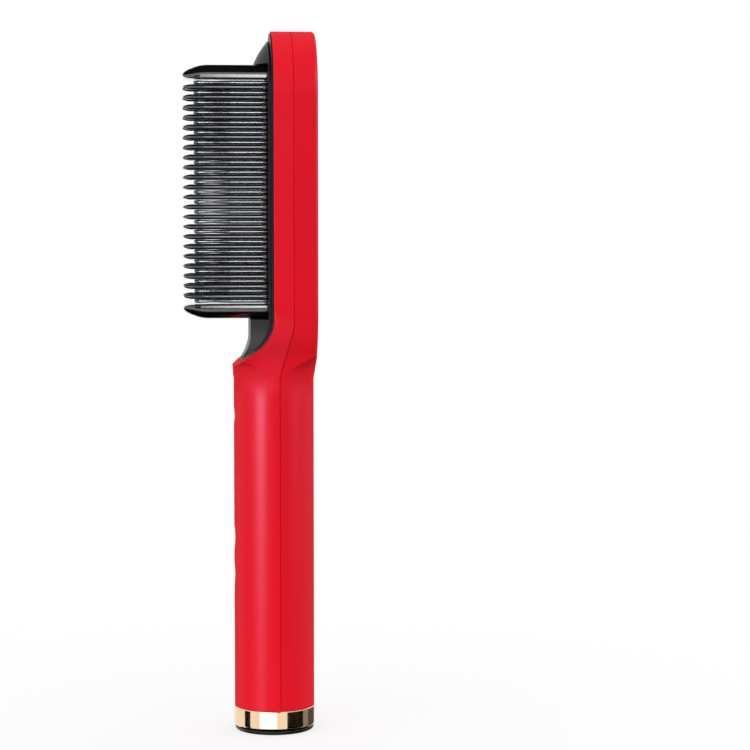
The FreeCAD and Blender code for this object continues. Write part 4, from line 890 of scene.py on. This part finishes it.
class BRUSH_OT_comb(bpy.types.Operator):
    """Model the guard comb with its pointed teeth and rounded end walls"""

    bl_idname = "brush.comb"
    bl_label = "Guard comb"

    def execute(self, context):
        colours = context.scene.brush_colours
        sizes = context.scene.brush_sizes
        low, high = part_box("guard_comb")
        ends = comb_ends(sizes)
        bm = bmesh.new()
        self.teeth(bm, sizes, ends, low.y)
        self.end_wall(bm, sizes, ends[1], -1, low.y)
        self.end_wall(bm, sizes, ends[0], 1, low.y)
        self.base(bm, sizes, ends, high)
        lacquer = {
            "Specular IOR Level": 0.5, "Coat Weight": 1.0, "Coat IOR": 1.9, "Coat Roughness": 0.12,
        }
        guard = grained(
            "black_comb", colours.guard, fade=0.7, roughness=0.14, spread=0.05, grain=0.04,
            constants=lacquer,
        )
        new_piece("guard_teeth", bm, guard, "guard_comb")
        coat("comb_bezel", self.framed(colours))
        return {"FINISHED"}

    def framed(self, colours):
        """The matt black of the frame, with a painted highlight paler towards its tail's end."""
        material, shader, position = new_material("black_frame", {"Specular IOR Level": 0.35})
        fine = fine_grain(position)
        # Painted highlight: below these heights the frame is blended towards the paler tail colour.
        tail = 1.0 - along(position, "Z").step(*PAINTED_SHEEN_HEIGHTS)
        plain = blended(drift(position), colours.bezel, darker(colours.bezel, FRAME_FADE))
        feed(shader, "Base Color", blended(tail, plain, colours.tail))
        feed(shader, "Roughness", fine * FRAME_SPREAD + FRAME_ROUGHNESS)
        feed(shader, "Normal", relief(fine, MOULD_GRAIN, rounded(position, FRAME_EDGE)))
        return material

    def teeth(self, bm, sizes, ends, tip):
        """Two rows of leaf-shaped teeth, each with a bead at its root."""
        pitch = fin_pitch(sizes, ends)
        level = sum(ends) / 2 - pitch * (sizes.tooth_count - 1) / 2
        x = sizes.tooth_inner + sizes.tooth_depth / 2
        places = stations(TOOTH_ROOT) + stations(TOOTH_TIP, tip)
        for side in (1, -1):
            before = set(everything(bm))
            centre = (side * x, 0.0, level)
            face = slot_face(bm, sizes.tooth_depth, sizes.tooth_thickness, TOOTH_SIDES, centre)
            drawn(bm, face, places)
            made = [item for item in everything(bm) if item not in before]
            copied_up(bm, made, pitch, sizes.tooth_count)

    def end_wall(self, bm, sizes, face_z, inward, tip):
        """A wall across one end of the comb that thins towards a blunt nose."""
        half = sizes.tooth_inner + sizes.tooth_depth
        z = sorted((face_z, face_z + inward * (sizes.end_wall + sizes.wall_swell)))
        rounds = (sizes.wall_inner_round, sizes.wall_outer_round)
        face = block_face(bm, (-half, half), z, 0.0, *(rounds if inward < 0 else rounds[::-1]))
        drawn(bm, face, stations(WALL_TIP, tip, inward * sizes.end_wall / 2))

    def base(self, bm, sizes, ends, high):
        """The slotted plinth that shows between the teeth, on its hidden flange."""
        half = sizes.tooth_inner + sizes.tooth_depth + PLINTH_LEDGE
        slot_half = sizes.fin_width / 2 + SLOT_GAP
        slot = ends[0] + sizes.end_wall, ends[1] - sizes.end_wall
        outer = ends[0] - sizes.plinth_overlap, ends[1] + sizes.plinth_overlap
        plinth = (
            ((-half, -slot_half), ends),
            ((slot_half, half), ends),
            ((-slot_half, slot_half), (ends[0], slot[0])),
            ((-slot_half, slot_half), (slot[1], ends[1])),
        )
        flange = (
            ((-high.x, -half), outer),
            ((half, high.x), outer),
            ((-half, half), (outer[0], ends[0])),
            ((-half, half), (ends[1], outer[1])),
        )
        for x, z in plinth:
            block(bm, x, z, high.y, PLINTH_FRONT)
        for x, z in flange:
            block(bm, x, z, high.y, high.y - FLANGE_DEPTH)


class BRUSH_OT_fins(bpy.types.Operator):
    """Model the heated bar and its waisted fins"""

    bl_idname = "brush.fins"
    bl_label = "Heated fins"

    def execute(self, context):
        colours = context.scene.brush_colours
        sizes = context.scene.brush_sizes
        ends = comb_ends(sizes)
        low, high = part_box("heated_comb")
        pitch = fin_pitch(sizes, ends)
        level = sum(ends) / 2 - pitch * sizes.tooth_count / 2
        root = high.y - BAR_DEPTH
        bm = bmesh.new()
        centre = (0.0, root + FIN_SUNK, level)
        face = slot_face(bm, sizes.fin_width, sizes.fin_thickness, FIN_SIDES, centre)
        drawn(bm, face, stations(FIN_TIP, low.y))
        copied_up(bm, everything(bm), pitch, sizes.tooth_count + 1)
        block(bm, (low.x, high.x), (low.z, high.z), high.y, root)
        fins = grained(
            "heated_metal", colours.fins, fade=0.8, roughness=0.24, spread=0.04, grain=0.012,
            constants={"Metallic": 1.0},
        )
        new_piece("heated_fins", bm, fins, "heated_comb")
        return {"FINISHED"}


def around(azimuth, elevation, distance):
    """A place on a sphere about the origin, from a camera's azimuth and elevation."""
    level = math.cos(elevation) * distance
    height = math.sin(elevation) * distance
    return Vector((math.sin(azimuth) * level, -math.cos(azimuth) * level, height))


def softbox(name, turn, tilt, size, power):
    """A soft light on a circle round the brush; its angles count like the camera's, in degrees."""
    light = bpy.data.lights.new(name, "AREA")
    light.shape = "RECTANGLE"
    light.size, light.size_y = size
    light.energy = power
    lamp = placed(name, light)
    lamp.location = around(math.radians(turn), math.radians(tilt), LIGHT_DISTANCE) + LIGHT_AIM
    lamp.rotation_euler = (LIGHT_AIM - lamp.location).to_track_quat("-Z", "Y").to_euler()
    return lamp


def lit_alone(lamp, pieces):
    """Let a light fall on a few pieces alone."""
    lit = bpy.data.collections.new(lamp.name + "_pieces")
    for piece in pieces:
        lit.objects.link(piece)
    lamp.light_linking.receiver_collection = lit
    return lit


def glossy_only(lamp, pieces):
    """Let a light show in the reflections of a few pieces alone."""
    lamp.visible_diffuse = False
    lit_alone(lamp, pieces)


def matt_only(lamp, pieces):
    """Let a light fall on a few pieces, out of their gloss, where only they shade each other."""
    lamp.visible_glossy = False
    lamp.light_linking.blocker_collection = lit_alone(lamp, pieces)


def reflected_card(name, bm, cloth):
    """A card that only reflections see."""
    card = placed(name, filled(name, bm))
    card.data.materials.append(cloth)
    card.visible_camera = False
    card.visible_diffuse = False
    card.visible_shadow = False
    card.visible_transmission = False


def upright_card(name, start, end, low, high, cloth):
    """A curved card between two azimuths in degrees."""
    bm = bmesh.new()
    foot = around(math.radians(start), 0.0, CARD_DISTANCE)
    verts = [bm.verts.new((foot.x, foot.y, level)) for level in (low, high)]
    edge = bm.edges.new(verts)
    sweep = math.radians(end - start)
    bmesh.ops.spin(bm, geom=verts + [edge], cent=ORIGIN, axis=TO_TOP, angle=sweep, steps=24)
    reflected_card(name, bm, cloth)


def level_card(name, height, radius, cloth):
    """A round card that lies level."""
    bm = bmesh.new()
    raised = Matrix.Translation((0.0, 0.0, height))
    bmesh.ops.create_circle(bm, cap_ends=True, segments=48, radius=radius, matrix=raised)
    reflected_card(name, bm, cloth)


def seen_white(tree):
    """1 for what the camera sees straight, in gloss or through clear matter, 0 for light itself."""
    path = tree.nodes.new("ShaderNodeLightPath")
    straight = Wire(tree, path.outputs["Is Camera Ray"])
    gloss = Wire(tree, path.outputs["Is Glossy Ray"])
    clear = Wire(tree, path.outputs["Is Transmission Ray"])
    return straight + gloss + clear


class BRUSH_OT_stage(bpy.types.Operator):
    """Build the floor, the soft lights, the white surround and the camera"""

    bl_idname = "brush.stage"
    bl_label = "Stage"

    def execute(self, context):
        studio = context.scene.brush_studio
        self.floor()
        self.surround(context.scene, studio)
        origins = {"camera": math.degrees(studio.azimuth), "back": BACK_AZIMUTH}
        self.lights(studio, origins)
        self.cards(origins)
        self.camera(context.scene, studio)
        return {"FINISHED"}

    def floor(self):
        """A pale floor that takes the shadow of the brush and fades into the white surround."""
        bm = bmesh.new()
        bmesh.ops.create_circle(bm, cap_ends=True, segments=96, radius=FLOOR_RADIUS)
        floor = placed("floor", filled("floor", bm))
        matt = {"Roughness": 0.9, "Specular IOR Level": 0.1}
        material, shader, position = new_material("floor", matt)
        tree = position.tree
        feed(shader, "Base Color", blended(noise(position, CLOTH_SCALE), *FLOOR_TONES))
        length = {"operation": "LENGTH"}
        away = position.made("ShaderNodeVectorMath", length, {0: position}, "Value")
        share = away.step(*FLOOR_FADE) * (1.0 - FLOOR_WHITE) + FLOOR_WHITE
        white = {"Color": WHITE, "Strength": seen_white(tree)}
        glow = position.made("ShaderNodeEmission", {}, white)
        pale = Wire(tree, shader.outputs["BSDF"])
        mixed = position.made("ShaderNodeMixShader", {}, {0: share, 1: pale, 2: glow})
        output = next(node for node in tree.nodes if node.bl_idname == "ShaderNodeOutputMaterial")
        tree.links.new(mixed.socket, output.inputs["Surface"])
        floor.data.materials.append(material)
        floor.visible_glossy = False

    def surround(self, scene, studio):
        """A white world that the camera and gloss see at full strength."""
        world = bpy.data.worlds.new("surround")
        scene.world = world
        world.use_nodes = True
        tree = world.node_tree
        tree.nodes.clear()
        seen = seen_white(tree)
        strength = seen * (1.0 - studio.surround) + studio.surround
        back = seen.made("ShaderNodeBackground", {}, {"Color": WHITE, "Strength": strength})
        output = tree.nodes.new("ShaderNodeOutputWorld")
        tree.links.new(back.socket, output.inputs["Surface"])

    def lights(self, studio, origins):
        """Two large softboxes for all, one for the neck and the rest for the gloss of pieces."""
        lamps = {
            name: softbox(name, origins[origin] + turn, tilt, size, getattr(studio, power))
            for name, power, origin, turn, tilt, size in SOFTBOXES
        }
        front = [frame["nodes"][name] for name in ("front_shell", "plus_button", "minus_button")]
        rear = [frame["nodes"]["back_shell"]]
        panel = [bpy.data.objects["domed_panel"]]
        ring = [bpy.data.objects["polished_ring"]]
        comb = [bpy.data.objects[name] for name in ("guard_teeth", "heated_fins")]
        for name in ("fill_softbox", "back_softbox"):
            lamps[name].visible_glossy = False
        matt_only(lamps["neck_softbox"], front + rear)
        for name in ("left_strip", "right_strip"):
            glossy_only(lamps[name], panel)
        glossy_only(lamps["key_softbox"], front)
        glossy_only(lamps["side_softbox"], rear)
        glossy_only(lamps["ring_softbox"], ring)
        glossy_only(lamps["comb_softbox"], comb)

    def cards(self, origins):
        """The dark and pale cards that give the metal and the black comb their reflections."""
        cloths = {name: self.cloth(name, tone) for name, tone in CLOTHS.items()}
        for name, cloth, origin, start, end, low, high in UPRIGHT_CARDS:
            turn = origins[origin]
            upright_card(name, turn + start, turn + end, low, high, cloths[cloth])
        for name, height, radius in LEVEL_CARDS:
            level_card(name, height, radius, cloths["black"])

    def cloth(self, name, tone):
        """The matt cloth of a card."""
        matt = {"Roughness": 1.0, "Specular IOR Level": 0.0}
        material, shader, position = new_material(name + "_cloth", matt)
        weave = noise(position, CLOTH_SCALE)
        feed(shader, "Base Color", blended(weave, tone, darker(tone, CLOTH_FADE)))
        return material

    def camera(self, scene, studio):
        """The camera beside the brush, which looks past its back."""
        camera = placed("camera", bpy.data.cameras.new("camera"))
        aside = Vector((math.cos(studio.azimuth), math.sin(studio.azimuth), 0.0))
        target = aside * studio.aim_side + TO_TOP * studio.aim_height
        place = around(studio.azimuth, 0.0, studio.distance) + TO_TOP * studio.height
        camera.location = place
        camera.rotation_euler = (target - place).to_track_quat("-Z", "Y").to_euler()
        camera.data.lens = studio.lens
        camera.data.clip_start = 0.01
        scene.camera = camera
        scene.view_settings.view_transform = "Standard"


class BRUSH_PT_sidebar(bpy.types.Panel):
    """Sizes and colours of the brush and buttons that build it"""

    bl_idname = "BRUSH_PT_sidebar"
    bl_label = "Heated styling brush"
    bl_space_type = "VIEW_3D"
    bl_region_type = "UI"
    bl_category = "Brush"

    def draw(self, context):
        layout = self.layout
        scene = context.scene
        for settings in (scene.brush_colours, scene.brush_sizes, scene.brush_studio):
            for name in settings.__annotations__:
                layout.prop(settings, name)
        for operator in OPERATORS:
            layout.operator(operator.bl_idname)


OPERATORS = (
    BRUSH_OT_inside,
    BRUSH_OT_shell,
    BRUSH_OT_back_trim,
    BRUSH_OT_bottom_end,
    BRUSH_OT_comb,
    BRUSH_OT_fins,
    BRUSH_OT_stage,
)
CLASSES = (BrushColours, BrushSizes, StudioSettings, *OPERATORS, BRUSH_PT_sidebar)


def register():
    for item in CLASSES:
        bpy.utils.register_class(item)
    bpy.types.Scene.brush_colours = bpy.props.PointerProperty(type=BrushColours)
    bpy.types.Scene.brush_sizes = bpy.props.PointerProperty(type=BrushSizes)
    bpy.types.Scene.brush_studio = bpy.props.PointerProperty(type=StudioSettings)


def unregister():
    del bpy.types.Scene.brush_studio
    del bpy.types.Scene.brush_sizes
    del bpy.types.Scene.brush_colours
    for item in reversed(CLASSES):
        bpy.utils.unregister_class(item)


def main():
    register()
    bpy.ops.brush.inside()
    bpy.ops.brush.shell()
    bpy.ops.brush.back_trim()
    bpy.ops.brush.bottom_end()
    bpy.ops.brush.comb()
    bpy.ops.brush.fins()
    bpy.ops.brush.stage()


if __name__ == "__main__":
    main()
